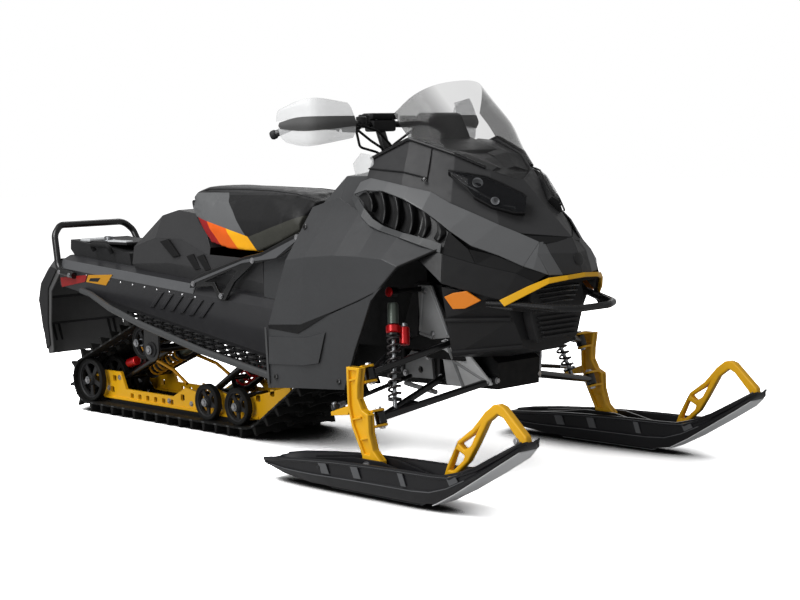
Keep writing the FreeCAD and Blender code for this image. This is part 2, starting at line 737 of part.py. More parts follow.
# Tunnel, boards and tail
def tunnel_section(x, inset="0"):
    """The tunnel's outline across the machine, from the right foot over the top to the left."""
    half = f"tunnel_half_width - {inset}"
    right = ((x, f"-({half})", board_z(x, "-30")),
             (x, f"-({half})", bend_z(x, f"-tunnel_bevel - {inset} / 2")),
             (x, f"-({half}) + 14", bend_z(x, f"-{inset}")),
             (x, f"-({half}) + 52", bend_z(x, f"tunnel_crown - {inset}")))
    return right + tuple((x, f"-1 * ({y})", z) for x, y, z in reversed(right))


tunnel_outside = loft("tunnel_outside", [tunnel_section("tunnel_rear_x"), tunnel_section("tunnel_front_x")])


def tunnel():
    """A folded sheet channel over the track, closed by a wall at its front."""
    inner = loft("tunnel_inside", [tunnel_section("tunnel_rear_x - 1", "tunnel_wall"),
                                   tunnel_section("tunnel_front_x - tunnel_wall", "tunnel_wall")])
    below = plate("tunnel_foot_cut", "XZ_Plane",
                  (("tunnel_rear_x - 10", board_z("tunnel_rear_x - 10", "-60")),
                   ("tunnel_front_x + 10", board_z("tunnel_front_x + 10", "-60")),
                   ("tunnel_front_x + 10", board_z("tunnel_front_x + 10", "-board_thickness")),
                   ("tunnel_rear_x - 10", board_z("tunnel_rear_x - 10", "-board_thickness"))),
                  "-tunnel_half_width - 5", "tunnel_half_width + 5")
    return cut("tunnel_trimmed", cut("tunnel_shell", tunnel_outside, inner), below)


sub_part("tunnel", tunnel())


def running_board():
    """The right board: a perforated sheet that widens towards the footwell."""
    slots = []
    for x, inner, length in ((-700, 24, 200), (-460, 24, 200), (-220, 24, 200), (20, 24, 180), (-430, 92, 170),
                             (-220, 92, 200), (20, 92, 180)):
        low, high = f"-(tunnel_half_width + {inner + 44})", f"-(tunnel_half_width + {inner})"
        slots.append(((f"{x}", high), (f"{x + length}", high), (f"{x + length}", low), (f"{x}", low)))
    sheet_plate = plate("board_sheet", "XY_Plane", BOARD_OUTLINE, "-board_thickness", "0", slots)
    slope = Placement(spot(("0", "0", "board_zero_z")), Rotation(Vector(0, 1, 0), size("board_slope")))
    sheet_plate.Placement = slope
    sheet_plate.setExpression("Placement.Base.z", bound("board_zero_z"))
    rail = tube("board_rail", [(x, y, board_z(x, "board_rail_radius - board_thickness")) for x, y in BOARD_RAIL],
                "board_rail_radius", "90", 1)
    return fuse("running_board_shape", [sheet_plate, rail])


BOARD_RAIL = (("-1130", "-(tunnel_half_width + board_rail_radius)"), ("-1060", "-(tunnel_half_width + 16)"),
              ("-814", "-board_half_width + 100"), ("-553", "-board_half_width + 50"),
              ("-140", "-board_half_width + 5"), ("300", "-board_half_width"))
BOARD_OUTLINE = (("-1074", "-tunnel_half_width"), ("-1060", "-(tunnel_half_width + 16)"),
                 ("-822", "-board_half_width + 100"), ("-559", "-board_half_width + 50"),
                 ("-141", "-board_half_width + 5"), ("303", "-board_half_width"),
                 ("303", "-tunnel_half_width"))

both_sides("running_boards", running_board())


def snow_flap():
    """A moulded flap behind the track, with a stiffening rib down each side."""
    rear = "tunnel_rear_x"
    outline = ((rear, "620"), (rear, "586"), ("-1455", "500"), ("overall_rear_x + flap_wall", "430"),
               ("-1420", "208"), ("-1428", "208"), ("overall_rear_x", "430"), ("-1462", "508"), ("-1345", "620"))
    rib = ((rear, "596"), (rear, "560"), ("-1385", "470"), ("-1398", "340"), ("-1384", "225"), ("-1424", "212"),
           ("overall_rear_x + 3", "430"), ("-1460", "506"))
    bar = (("-1476", "428"), ("-1452", "330"), ("-1440", "334"), ("-1464", "428"))
    pieces = [plate("flap_sheet", "XZ_Plane", outline, "-flap_half_width", "flap_half_width"),
              plate("flap_rib_right", "XZ_Plane", rib, "-flap_half_width", "-flap_half_width + flap_wall"),
              plate("flap_rib_left", "XZ_Plane", rib, "flap_half_width - flap_wall", "flap_half_width"),
              plate("flap_bar", "XZ_Plane", bar, "-flap_half_width", "flap_half_width")]
    section = [(y, z) for x, y, z in tunnel_section(rear)]
    low = [("tunnel_half_width", "180"), ("-tunnel_half_width", "180")]
    edge = plate("flap_edge", "YZ_Plane", [*section, *low], "overall_rear_x - 10", rear)
    return common("snow_flap_shape", fuse("flap_pieces", pieces), edge)


sub_part("snow_flap", snow_flap())


def rear_bumper():
    """A loop of tube behind the deck, bolted along the tunnel's sides."""
    y = "tunnel_half_width + bumper_radius - 2"
    half = (("tunnel_rear_x + 130", y, "541"), ("tunnel_rear_x + 12", y, "557"), ("-1352", "bumper_y + 6", "700"),
            ("bumper_x", "bumper_y - 30", "bumper_z"))
    route = [(x, f"-({side})", z) for x, side, z in half] + list(reversed(half))
    bar = tube("rear_bumper_tube", route, "bumper_radius - 0.6", "45")
    grip = pin("rear_bumper_bar", ("bumper_x", "-bumper_grip / 2", "bumper_z"),
               ("bumper_x", "bumper_grip / 2", "bumper_z"), "bumper_radius")
    return cut("rear_bumper_shape", fuse("rear_bumper_loop", [bar, grip]), tunnel_outside)


sub_part("rear_bumper", rear_bumper())


def deck_z(x, rise="0"):
    return bend_z(x, f"tunnel_crown + {rise}")


LAMP_FACE = (("tunnel_rear_x - 20", "640"), ("tunnel_rear_x - 16", "678"))
sub_part("rear_deck", plate("rear_deck_shape", "XZ_Plane", (
    ("tunnel_rear_x + 6", deck_z("tunnel_rear_x + 6")), ("-900", deck_z("-900")), ("-910", deck_z("-910", "44")),
    ("-1080", deck_z("-1080", "52")), LAMP_FACE[1], LAMP_FACE[0]),
    "-deck_half_width", "deck_half_width"))
sub_part("tail_lamp", plate("tail_lamp_shape", "XZ_Plane", (
    *LAMP_FACE, ("tunnel_rear_x - 31", "674"), ("tunnel_rear_x - 35", "640")), "-lamp_half_width", "lamp_half_width"))

# Seat, pod, console and braces
def crowned(name, outline, base_z, top_z, base_half, top_half):
    """A block with a side outline, narrowed towards its top."""
    side = plate(f"{name}_side", "XZ_Plane", outline, f"-({base_half})", base_half)
    taper = plate(f"{name}_taper", "YZ_Plane", (
        (f"-({base_half})", base_z), (base_half, base_z), (base_half, f"{base_z} + 40"), (top_half, top_z),
        (f"-({top_half})", top_z), (f"-({base_half})", f"{base_z} + 40")), "tunnel_rear_x", "ski_bend_x")
    return common(f"{name}_shape", side, taper)


PERCH = (("-436", "789"), ("-349", "672"), ("-55", "662"))
TANK_REAR = (("152", "743"), ("152", "848"))
sub_part("seat", crowned("seat", (("-484", "880"), ("-306", "880"), *reversed(TANK_REAR), *reversed(PERCH)),
                         "655", "882", "seat_half_width", "seat_top_half_width"))
POD_OUTLINE = (("-842", "500"), ("-832", "684"), ("-684", "785"), ("-590", "806"), *PERCH, ("-40", "500"))
sub_part("storage_pod", cut("storage_pod_seated", crowned("pod", POD_OUTLINE, "490", "810", "pod_half_width", "132"),
                            tunnel_outside))
CONSOLE_OUTLINE = (("-40", "500"), PERCH[-1], *TANK_REAR, ("318", "930"), ("400", "944"), ("560", "930"),
                   ("560", "760"), ("300", "700"), ("292", "500"))


def column_point(distance):
    """A point along the steering column, below the bar clamp."""
    return (f"column_x + sin(column_rake) * ({distance})", "0", f"column_z - cos(column_rake) * ({distance})")


def console():
    """The tank cover ahead of the seat, with a well for the steering column."""
    cover = cut("console_on_tunnel", crowned("console", CONSOLE_OUTLINE, "490", "950", "pod_half_width", "95"), tunnel_outside)
    well = pin("column_well", column_point("well_depth"), column_point("0"), "column_radius + joint_gap")
    return cut("console_bored", cover, well)


sub_part("console", console())
BRACE_OUTLINE = (("-429", "528"), ("-415", "556"), ("-367", "580"), ("-106", "652"), ("-12", "669"),
                 ("191", "744"), ("205", "715"), ("72", "652"), ("-60", "628"), ("-167", "560"),
                 ("-222", "492"), ("-262", "492"), ("-292", "540"))
both_sides("side_braces", plate("side_brace", "XZ_Plane", BRACE_OUTLINE,
                                "-tunnel_half_width - brace_thickness", "-tunnel_half_width"))

# Engine bay: the cast bulkhead that carries the front suspension, and one plain block for the engine
def bulkhead():
    """A keel box, an upright and two towers that hold the arms' inner ends and the shocks."""
    keel = plate("bulkhead_keel", "XZ_Plane", (
        ("tunnel_front_x", "272"), ("560", "258"), ("965", "268"), ("968", "350"), ("905", "396"),
        ("tunnel_front_x", "385")), "-keel_half_width", "keel_half_width")
    upright = plate("bulkhead_upright", "XZ_Plane", (
        ("742", "360"), ("900", "360"), ("905", "470"), ("815", "590"), ("742", "590")), "-tower_y + 20", "tower_y - 20")
    pieces = [keel, upright]
    for side, sign in (("right", "-1"), ("left", "1")):
        tower = (("664", "410"), ("664", "452"), ("722", "598"), ("782", "598"), ("872", "474"), ("924", "450"),
                 ("924", "408"), ("800", "396"))
        low, high = ("-tower_y", "-tower_y + 24") if side == "right" else ("tower_y - 24", "tower_y")
        pieces.append(plate(f"bulkhead_tower_{side}", "XZ_Plane", tower, low, high))
        pieces.append(rod(f"bulkhead_pin_{side}", ("shock_top_x", f"{sign} * (tower_y - 10)", "shock_top_z"),
                          ("shock_top_x", f"{sign} * (shock_top_y + 12)", "shock_top_z"), "9"))
    return fuse("bulkhead_shape", pieces)


bulkhead_part = sub_part("bulkhead", bulkhead())
engine_block = plate("engine_block", "XZ_Plane", (
    ("330", "380"), ("742", "380"), ("742", "640"), ("640", "700"), ("360", "690")), "-170", "170")
sub_part("engine", cut("engine_seated", engine_block, bulkhead_part))

# Front suspension
LOWER_BALL = ("lower_ball_x", "-steer_axis_y", "lower_ball_z")
UPPER_BALL = ("upper_ball_x", "-steer_axis_y", "upper_ball_z")


def steer_axis():
    """Direction of a spindle's steering axis, upwards."""
    return (spot(UPPER_BALL) - spot(LOWER_BALL)).normalize()


def housing_about(name, centre, radius, height):
    """A short cylinder about a line through the centre that runs along the steering axis."""
    half = steer_axis() * size(f"({height}) / 2")
    housing = doc.addObject("Part::Cylinder", name)
    housing.setExpression("Radius", bound(radius))
    housing.setExpression("Height", bound(height))
    housing.Placement = Placement(spot(centre) - half, Rotation(Vector(0, 0, 1), steer_axis()))
    return housing


def arm(name, ball, feet):
    """An A-arm: two tubes that meet at a ball joint housing, seated on the bulkhead."""
    pieces = [housing_about(f"{name}_ball", ball, "ball_radius", "ball_height")]
    for number, foot in enumerate(feet):
        pieces.append(rod(f"{name}_tube_{number}", foot, ball, "arm_radius"))
    return cut(f"{name}_seated", fuse(f"{name}_shape", pieces), bulkhead_part)


lower_arm = arm("lower_arm", LOWER_BALL, (("944", "-keel_half_width + 8", "296"),
                                          ("736", "-keel_half_width + 8", "290")))
both_sides("lower_arms", lower_arm)
both_sides("upper_arms", arm("upper_arm", UPPER_BALL, (("908", "-tower_y + 8", "431"),
                                                       ("680", "-tower_y + 8", "431"))))


def front_shock():
    """The right front shock, seated on the lower arm and on the tower's pin."""
    damper = shock("front_shock", ("836", "-412", "238"), ("shock_top_x", "-shock_top_y", "shock_top_z"), 20, 17,
                   0.1, 0.68, 5)
    return cut("front_shock_on_pin", cut("front_shock_on_arm", damper, lower_arm), bulkhead_part)


both_sides("front_shocks", front_shock())


def ear_shape():
    """A spindle's ear about the steering axis: a half round with a root towards the leg."""
    radius, root = size("ball_radius"), size("spindle_y - steer_axis_y - spindle_thickness / 2 + 8")
    points = [Vector(radius * math.cos(math.radians(turn)), radius * math.sin(math.radians(turn)), 0)
              for turn in range(0, 181, 30)]
    points += [Vector(-radius, -root, 0), Vector(radius, -root, 0)]
    return polygon(points).extrude(Vector(0, 0, size("ear_thickness")))


def steering_arm_top(x):
    """Height of the steering arm's top, which stands square to the steering axis under the tie rod's eye."""
    below = "(tie_eye_height / 2 + joint_gap) * sqrt(1 + steer_lean ^ 2)"
    return f"tie_arm_z + (({x}) - tie_arm_x) * steer_lean - {below}"


def spindle():
    """The steered leg: a forged channel with ears for two ball joints and an arm for the tie rod."""
    outline = (("770", "376"), ("772", "259"), ("788", "200"), ("834", "116"), ("842", "76"), ("915", "76"),
               ("916", "108"), ("886", "136"), ("870", "186"), ("868", "240"), ("842", "252"), ("824", "284"),
               ("826", "322"), ("836", "376"))
    leg = plate("spindle_leg", "XZ_Plane", outline, "-spindle_y - spindle_thickness / 2",
                "-spindle_y + spindle_thickness / 2")
    bore = pin("spindle_bore", ("pivot_x", "-spindle_y - spindle_thickness", "pivot_height"),
               ("pivot_x", "-spindle_y + spindle_thickness", "pivot_height"), "pivot_bolt_radius + joint_gap")
    pieces = [cut("spindle_bored_leg", leg, bore)]
    axis = steer_axis()
    clear = "ball_height / 2 + joint_gap"
    for name, centre in (("lower", LOWER_BALL), ("upper", UPPER_BALL)):
        for side, offset in (("over", size(clear)), ("under", size(f"-({clear} + ear_thickness)"))):
            item = feature(f"spindle_{name}_{side}", ear_shape())
            item.Placement = Placement(spot(centre) + axis * offset, Rotation(Vector(0, 0, 1), axis))
            pieces.append(item)
    pieces.append(plate("spindle_steering_arm", "XZ_Plane", (
        ("700", "221"), ("775", "230"), ("790", steering_arm_top("790")), ("700", steering_arm_top("700"))),
        "-spindle_y - 9", "-spindle_y + 9"))
    return fuse("spindle_shape", pieces)


right_and_left("spindle", spindle())


def tie_rod():
    """A rod from the spindle's arm to the steering linkage, which is out of sight."""
    outer = ("tie_arm_x", "-spindle_y", "tie_arm_z")
    inner = ("tie_inner_x", "-tie_inner_y", "tie_inner_z")
    return fuse("tie_rod_shape", [rod("tie_bar", outer, inner, "tie_radius"),
                                  housing_about("tie_eye", outer, "tie_radius_eye", "tie_eye_height")])


right_and_left("tie_rod", tie_rod())


# Skis
def ski_section(x, bottom, top, floor, half, foot):
    """A trough across the ski: flared side walls, and the floor between them."""
    x = f"({x})"
    right = ((x, f"-spindle_y - ({half})", top), (x, f"-spindle_y - ({foot})", bottom))
    left = ((x, f"-spindle_y + ({foot})", bottom), (x, f"-spindle_y + ({half})", top))
    inner = ((x, f"-spindle_y + ({half}) - ski_wall", top), (x, f"-spindle_y + ({foot}) - ski_wall", floor),
             (x, f"-spindle_y - ({foot}) + ski_wall", floor), (x, f"-spindle_y - ({half}) + ski_wall", top))
    return right + left + inner


def ski():
    """A deep moulded ski that curls up to its tip."""
    base = "runner_height"
    sections = [
        ski_section("ski_tail_x", "50", "64", "62", "ski_half_width - 24", "ski_half_width - 30"),
        ski_section("ski_tail_x + 90", "26", "78", "44", "ski_half_width - 6", "ski_half_width - 22"),
        ski_section("ski_tail_x + 215", base, "ski_side_height - 14", f"{base} + ski_sole", "ski_half_width",
                    "ski_half_width - 22"),
        ski_section("pivot_x", base, "ski_side_height", f"{base} + ski_sole", "ski_half_width",
                    "ski_half_width - 22"),
        ski_section("ski_bend_x - 40", base, "ski_side_height + 6", f"{base} + ski_sole", "ski_half_width",
                    "ski_half_width - 22"),
        ski_section("ski_bend_x + 30", "24", "ski_side_height + 6", "38", "ski_half_width", "ski_half_width - 20"),
        ski_section("ski_bend_x + 110", "64", "112", "78", "ski_half_width", "ski_half_width - 14"),
        ski_section("ski_bend_x + 210", "122", "152", "136", "ski_half_width", "ski_half_width - 8"),
        ski_section("ski_bend_x + 300", "176", "200", "188", "ski_half_width - 4", "ski_half_width - 8"),
        ski_section("ski_tip_x - 12", "206", "228", "218", "ski_half_width - 22", "ski_half_width - 26"),
        ski_section("ski_tip_x", "220", "ski_tip_height", "232", "ski_half_width - 40", "ski_half_width - 44")]
    pieces = [loft("ski_hull", sections)]
    for side in ("-1", "1"):
        edge = f"-spindle_y + {side} * (spindle_thickness / 2 + 10)"
        pieces.append(plate(f"ski_rib_{'left' if side == '1' else 'right'}", "XZ_Plane", (
            ("ski_tail_x + 120", f"{base} + 8"), ("ski_tail_x + 170", "84"), ("pivot_x - 60", "ski_side_height + 8"),
            ("pivot_x + 60", "ski_side_height + 8"), ("ski_bend_x - 10", "70"), ("ski_bend_x + 30", "34"),
            ("ski_bend_x + 20", f"{base} + 12"), ("ski_bend_x", f"{base} + 8")),
            f"({edge}) - 4", f"({edge}) + 4"))
    reach = "(spindle_thickness / 2 + 12)"
    pieces.append(pin("ski_pivot_bolt", ("pivot_x", f"-spindle_y - {reach}", "pivot_height"),
                      ("pivot_x", f"-spindle_y + {reach}", "pivot_height"), "pivot_bolt_radius"))
    return fuse("ski_shape", pieces)


ski_right = ski()
right_and_left("ski", ski_right)
right_and_left("runner", plate("runner_bar", "XZ_Plane", (
    ("ski_tail_x + 230", "runner_height"), ("ski_tail_x + 270", "0"), ("ski_bend_x - 60", "0"),
    ("ski_bend_x - 40", "runner_height")), "-spindle_y - runner_width / 2", "-spindle_y + runner_width / 2"))


def ski_loop():
    """The grab loop: a flat bar with two windows in its rear leg, down to the tip."""
    outline = (("1164", "30"), ("1170", "97"), ("1187", "136"), ("1227", "205"), ("1285", "246"),
               ("1332", "296"), ("1362", "318"), ("1382", "322"), ("1402", "316"), ("1482", "243"),
               ("1486", "216"), ("1462", "206"), ("1455", "226"), ("1400", "284"), ("1378", "294"),
               ("1342", "268"), ("1298", "197"), ("1266", "150"), ("1212", "104"), ("1196", "40"))
    windows = ((("1234", "196"), ("1252", "182"), ("1276", "196"), ("1306", "246"), ("1284", "226")),
               (("1192", "118"), ("1206", "118"), ("1246", "152"), ("1252", "166"), ("1222", "180")))
    bar = plate("loop_bar", "XZ_Plane", outline, "-spindle_y - loop_thickness / 2",
                "-spindle_y + loop_thickness / 2", windows)
    return cut("ski_loop_shape", bar, ski_right)


right_and_left("ski_loop", ski_loop())


# Body panels
def across(row):
    """A row of points on the right side, carried over the centre line to the left."""
    return tuple(row) + tuple((x, f"-1 * ({y})", z) for x, y, z in reversed(row) if size(y) != 0)


def trimmed(name, item, *others):
    """The largest solid that is left of a piece outside some others."""
    for number, other in enumerate(others):
        item = cut(f"{name}_less_{number}", item, other)
    doc.recompute()
    return feature(f"{name}_trimmed", max(item.Shape.Solids, key=lambda solid: solid.Volume))


def panel(name, rows, *others):
    """A body panel, trimmed clear of others, and a thick copy of it that trims its neighbours."""
    return trimmed(name, skin(name, rows, "panel_wall"), *others), skin(f"{name}_mass", rows, "panel_wall * 6")


# The screen's lower edge, the shoulder over the light band, and the band's lower edge, rear to front
SCREEN_BASE = (("538", "-200", "979"), ("712", "-200", "1039"), ("861", "-155", "989"), ("951", "-97", "941"),
               ("1000", "0", "911"))
SHOULDER = (("560", "-255", "905"), ("725", "-260", "886"), ("903", "-225", "825"), ("1050", "-165", "759"),
            ("1153", "-105", "698"))
BAND_FOOT = (("505", "-278", "868"), ("797", "-290", "848"), ("924", "-270", "774"), ("1060", "-203", "693"),
             ("1145", "-140", "680"))
SIDE_TOP = (("324", "-270", "831"), ("448", "-266", "863"), ("584", "-302", "819"), ("671", "-322", "771"),
            ("791", "-334", "753"), ("941", "-324", "712"))
SIDE_WAIST = (("333", "-400", "667"), ("440", "-415", "680"), ("584", "-415", "690"), ("690", "-412", "690"),
              ("790", "-410", "685"), ("860", "-412", "664"))
SIDE_CREASE = (("273", "-430", "457"), ("443", "-440", "469"), ("600", "-438", "520"), ("700", "-434", "556"),
               ("781", "-430", "588"), ("800", "-428", "600"))
SIDE_FOOT = (("250", "-420", "249"), ("400", "-424", "262"), ("560", "-424", "272"), ("624", "-420", "276"),
             ("686", "-428", "406"), ("767", "-430", "563"))

side_panel, side_mass = panel("side_panel", (SIDE_TOP, SIDE_WAIST, SIDE_CREASE, SIDE_FOOT))
both_sides("side_panels", side_panel)
hood, hood_mass = panel("hood", (across(SCREEN_BASE), across((*SHOULDER[:4], ("1189", "0", "738")))))
sub_part("hood", hood)
band, band_mass = panel("hood_band", (SHOULDER, BAND_FOOT), hood_mass, hood, side_mass)
both_sides("hood_bands", band)
fairing, fairing_mass = panel("side_fairing", (
    (("840", "-286", "828"), ("924", "-270", "774"), ("1060", "-203", "693"), ("1145", "-140", "680"),
     ("1187", "-110", "635")),
    (("860", "-326", "745"), ("955", "-318", "700"), ("1046", "-250", "675"), ("1120", "-195", "640"),
     ("1191", "-115", "620")),
    (("870", "-345", "690"), ("950", "-320", "612"), ("1047", "-255", "577"), ("1100", "-215", "572"),
     ("1150", "-165", "590"))), hood_mass, band_mass, band, side_mass)
both_sides("side_fairings", fairing)
nose, nose_mass = panel("nose", (
    across((("1136", "-95", "723"), ("1189", "0", "738"))),
    across((("1153", "-105", "698"), ("1212", "0", "690"))),
    across((("1196", "-92", "628"), ("1226", "0", "632")))), hood_mass, band_mass, opposite("band_left", band_mass),
    fairing_mass, opposite("fairing_left", fairing_mass))
sub_part("nose", nose)


def vent_louvres():
    """Upright fins before a dark backing, in the opening between band and side panel."""
    upper = (("600", "-286", "852"), ("797", "-284", "838"), ("930", "-266", "766"))
    lower = (("640", "-304", "785"), ("791", "-322", "740"), ("945", "-312", "700"))
    pieces = [skin("vent_backing", (upper, lower), "panel_wall")]
    high, low = [spot(point) for point in upper], [spot(point) for point in lower]
    for number in range(5):
        share = 0.12 + 0.18 * number
        head, foot = along(high, share), along(low, share)
        outward = (along(high, share + 0.02) - head).cross(foot - head).normalize()
        outward = outward if outward.y < 0 else outward * -1
        ends = []
        for end in (head, foot):
            back = end - outward * 3
            ends.append([back, back + Vector(7, 0, 0), end + outward * 15 + Vector(7, 0, 0), end + outward * 15])
        pieces.append(feature(f"vent_fin_{number}", stacked(ends)))
    return trimmed("vent_louvres", fuse("vent_louvres_shape", pieces), band_mass, side_mass, fairing_mass, hood_mass)


def along(points, share):
    """The point at a share of the way through a row of three."""
    first, middle, last = points
    return first + (middle - first) * (share * 2) if share < 0.5 else middle + (last - middle) * (share * 2 - 1)


both_sides("vent_louvres", vent_louvres())
belly = loft("belly_shape", [
    [("940", "-268", "387"), ("940", "-290", "506"), ("940", "-308", "600"), ("940", "308", "600"),
     ("940", "290", "506"), ("940", "268", "387"), ("940", "40", "362"), ("940", "-40", "362")],
    [("1090", "-112", "408"), ("1090", "-160", "500"), ("1090", "-196", "560"), ("1090", "196", "560"),
     ("1090", "160", "500"), ("1090", "112", "408"), ("1090", "36", "392"), ("1090", "-36", "392")]])
belly_pan = trimmed("belly_pan", belly, fairing_mass, opposite("fairing_mass_left", fairing_mass), bulkhead_part)
sub_part("belly_pan", belly_pan)
grille = plate("grille_block", "YZ_Plane", (
    ("-118", "498"), ("-126", "560"), ("-110", "622"), ("110", "622"), ("126", "560"), ("118", "498"),
    ("92", "428"), ("-92", "428")), "1085", "1152")
grille_shape = trimmed("front_grille", grille, belly_pan, nose_mass, fairing_mass,
                       opposite("grille_fairing_left", fairing_mass))
sub_part("front_grille", grille_shape)
strip = tube("nose_strip_bar", (
    ("1112", "-208", "562"), ("1196", "-116", "616"), ("1234", "0", "624"), ("1196", "116", "616"),
    ("1112", "208", "562")), "7", "30", 1, 6)
bumper = tube("front_bumper_bar", (
    ("1050", "-232", "552"), ("1127", "-190", "547"), ("1244", "-128", "536"), ("1270", "-70", "533"),
    ("1270", "70", "533"), ("1244", "128", "536"), ("1127", "190", "547"), ("1050", "232", "552")), "12", "40", 1)
bumper_bar = sub_part("front_bumper", trimmed("front_bumper", bumper, belly_pan, fairing,
                                              opposite("bumper_fairing_left", fairing), grille_shape))
sub_part("nose_strip", trimmed("nose_strip", strip, fairing, opposite("strip_fairing_left", fairing), nose,
                               grille_shape, bumper_bar))
both_sides("side_reflectors", trimmed("side_reflector", skin("side_reflector", (
    (("957", "-304", "567"), ("1012", "-279", "590")), (("986", "-287", "535"), ("1058", "-257", "561"))), "18"),
    fairing_mass, belly_pan))
screen = skin("windshield_shape", (
    across(SCREEN_BASE[1:]),
    across((("672", "-203", "1085"), ("790", "-160", "1092"), ("866", "-98", "1078"), ("902", "0", "1062"))),
    across((("640", "-198", "1122"), ("690", "-157", "1180"), ("738", "-98", "1212"), ("772", "0", "1224")))),
    "screen_wall")
sub_part("windshield", trimmed("windshield", screen, hood_mass))
dash_side = plate("dash_side", "XZ_Plane", (
    ("560", "850"), ("560", "936"), ("544", "942"), ("544", "968"), ("712", "1026"), ("861", "976"), ("951", "928"),
    ("980", "904"), ("980", "850")), "-210", "210")
dash_plan = plate("dash_plan", "XY_Plane", (
    ("530", "-190"), ("712", "-190"), ("861", "-145"), ("940", "-90"), ("980", "-20"), ("980", "20"), ("940", "90"),
    ("861", "145"), ("712", "190"), ("530", "190")), "800", "1100")
dash = trimmed("dash", common("dash_shape", dash_side, dash_plan), hood_mass)
sub_part("dash", dash)
sub_part("gauge_pod", cut("gauge_pod_seated", plate("gauge_pod_shape", "XZ_Plane", (
    ("612", "985"), ("612", "1104"), ("660", "1126"), ("712", "1124"), ("812", "1010"), ("812", "985")),
    "-112", "112"), dash))
both_sides("headlights", trimmed("headlight", skin("headlight", (
    (("878", "-182", "950"), ("958", "-130", "905"), ("1030", "-60", "864")),
    (("905", "-192", "878"), ("1019", "-142", "818"), ("1080", "-72", "810"))), "panel_wall * 3"), hood_mass, hood))


# Steering
sub_part("steering_column", pin("steering_column_shape", column_point("column_length"), column_point("0"),
                                "column_radius"))
BAR_HALF = (("268", "-372", "1068"), ("345", "-330", "1100"), ("440", "-190", "1088"), ("378", "-70", "1094"),
            ("368", "-30", "1094"))
handlebar = sub_part("handlebar", tube("handlebar_tube", [
    *BAR_HALF, *((x, f"-1 * ({y})", z) for x, y, z in reversed(BAR_HALF))], "bar_radius", "40", 1))
grip = rod("grip", share_point(BAR_HALF[2], BAR_HALF[1], 0.12), share_point(BAR_HALF[2], BAR_HALF[1], 0.86),
           "grip_radius")
sub_part("grips", cut("grip_bored", grip, handlebar),
         cut("grip_left_bored", opposite("grip_left", grip), handlebar))
guard = skin("hand_guard", (
    (("330", "-394", "1160"), ("452", "-346", "1180"), ("478", "-240", "1168")),
    (("316", "-408", "1098"), ("470", "-364", "1098"), ("500", "-232", "1104")),
    (("344", "-398", "1042"), ("458", "-356", "1028"), ("484", "-228", "1052"))), "4")
both_sides("hand_guards", guard)
clamp = plate("bar_clamp", "XZ_Plane", (("346", "1072"), ("392", "1072"), ("392", "1108"), ("346", "1108")), "-52", "52")
stalk = rod("guard_stalk", share_point(BAR_HALF[2], BAR_HALF[3], 0.12), ("490", "-244", "1098"), "6", 6)
lever = rod("lever", ("470", "-196", "1082"), ("376", "-340", "1088"), "5", 6)
perch = rod("lever_perch", share_point(BAR_HALF[2], BAR_HALF[1], 0.02), ("472", "-200", "1082"), "8", 6)
controls = cut("controls_off_guard", fuse("controls", [stalk, lever, perch]), guard)
sub_part("bar_controls", cut("clamp_on_bar", cut("clamp_on_column", clamp, SUB_PARTS["steering_column"]), handlebar),
         cut("controls_off_bar", controls, handlebar),
         cut("controls_left_off_bar", opposite("controls_left", controls), handlebar))

doc.recompute()

OUT = "parts"
os.makedirs(OUT, exist_ok=True)
failed = [item.Label for item in doc.Objects if {"Invalid", "Error"} & set(item.State)]
for label, item in SUB_PARTS.items():
    shape = item.Shape
    if shape.isNull() or not shape.isValid() or not shape.Solids:
        failed.append(label)
if failed:
    raise RuntimeError("these did not build: " + ", ".join(failed))
for label, item in SUB_PARTS.items():
    item.Shape.exportStep(os.path.join(OUT, f"{label}.step"))
    print(label, len(item.Shape.Solids), round(item.Shape.Volume / 1000), "cm3")
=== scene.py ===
"""Snowmobile: detailed pieces, finishes, stage and camera over the CAD frame.

Points are in millimetres: +X forward, +Y to the rider's left, +Z up, on the ground.
"""
import json
import math

import bmesh
import bpy
from bpy.props import FloatProperty, FloatVectorProperty, IntProperty, PointerProperty
from mathutils import Matrix, Vector

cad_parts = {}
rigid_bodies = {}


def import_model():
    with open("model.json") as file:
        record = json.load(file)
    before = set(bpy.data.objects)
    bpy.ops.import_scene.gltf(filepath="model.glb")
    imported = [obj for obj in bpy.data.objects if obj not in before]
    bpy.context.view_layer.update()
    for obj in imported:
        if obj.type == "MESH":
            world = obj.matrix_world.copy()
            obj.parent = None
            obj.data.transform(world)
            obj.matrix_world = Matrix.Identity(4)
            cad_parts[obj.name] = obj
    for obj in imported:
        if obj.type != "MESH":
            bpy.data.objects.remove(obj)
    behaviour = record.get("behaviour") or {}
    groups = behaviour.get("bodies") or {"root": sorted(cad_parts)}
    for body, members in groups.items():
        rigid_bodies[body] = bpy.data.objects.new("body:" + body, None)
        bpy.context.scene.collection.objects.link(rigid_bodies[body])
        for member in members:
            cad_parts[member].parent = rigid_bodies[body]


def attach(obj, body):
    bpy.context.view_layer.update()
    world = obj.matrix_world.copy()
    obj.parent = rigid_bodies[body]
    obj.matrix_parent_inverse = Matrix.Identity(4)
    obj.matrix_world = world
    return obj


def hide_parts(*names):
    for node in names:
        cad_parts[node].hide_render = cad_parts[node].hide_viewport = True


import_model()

bl_info = {
    "name": "Snowmobile",
    "version": (1, 0, 0),
    "blender": (4, 5, 0),
    "location": "View3D > Sidebar > Snowmobile",
    "description": "Detailed pieces, finishes, stage and camera of the snowmobile",
    "category": "Object",
}

MM = 0.001
RIGHT, UP, AHEAD = (0, -1, 0), (0, 0, 1), (1, 0, 0)
SKI_Y = 540
SKI_PIVOT = (878, 92)
PANEL_WALL = 6
SHARP_ANGLE = math.radians(38)
FOCAL_PIXELS, PHOTO_WIDTH, SENSOR_WIDTH = 1628.5, 800, 36


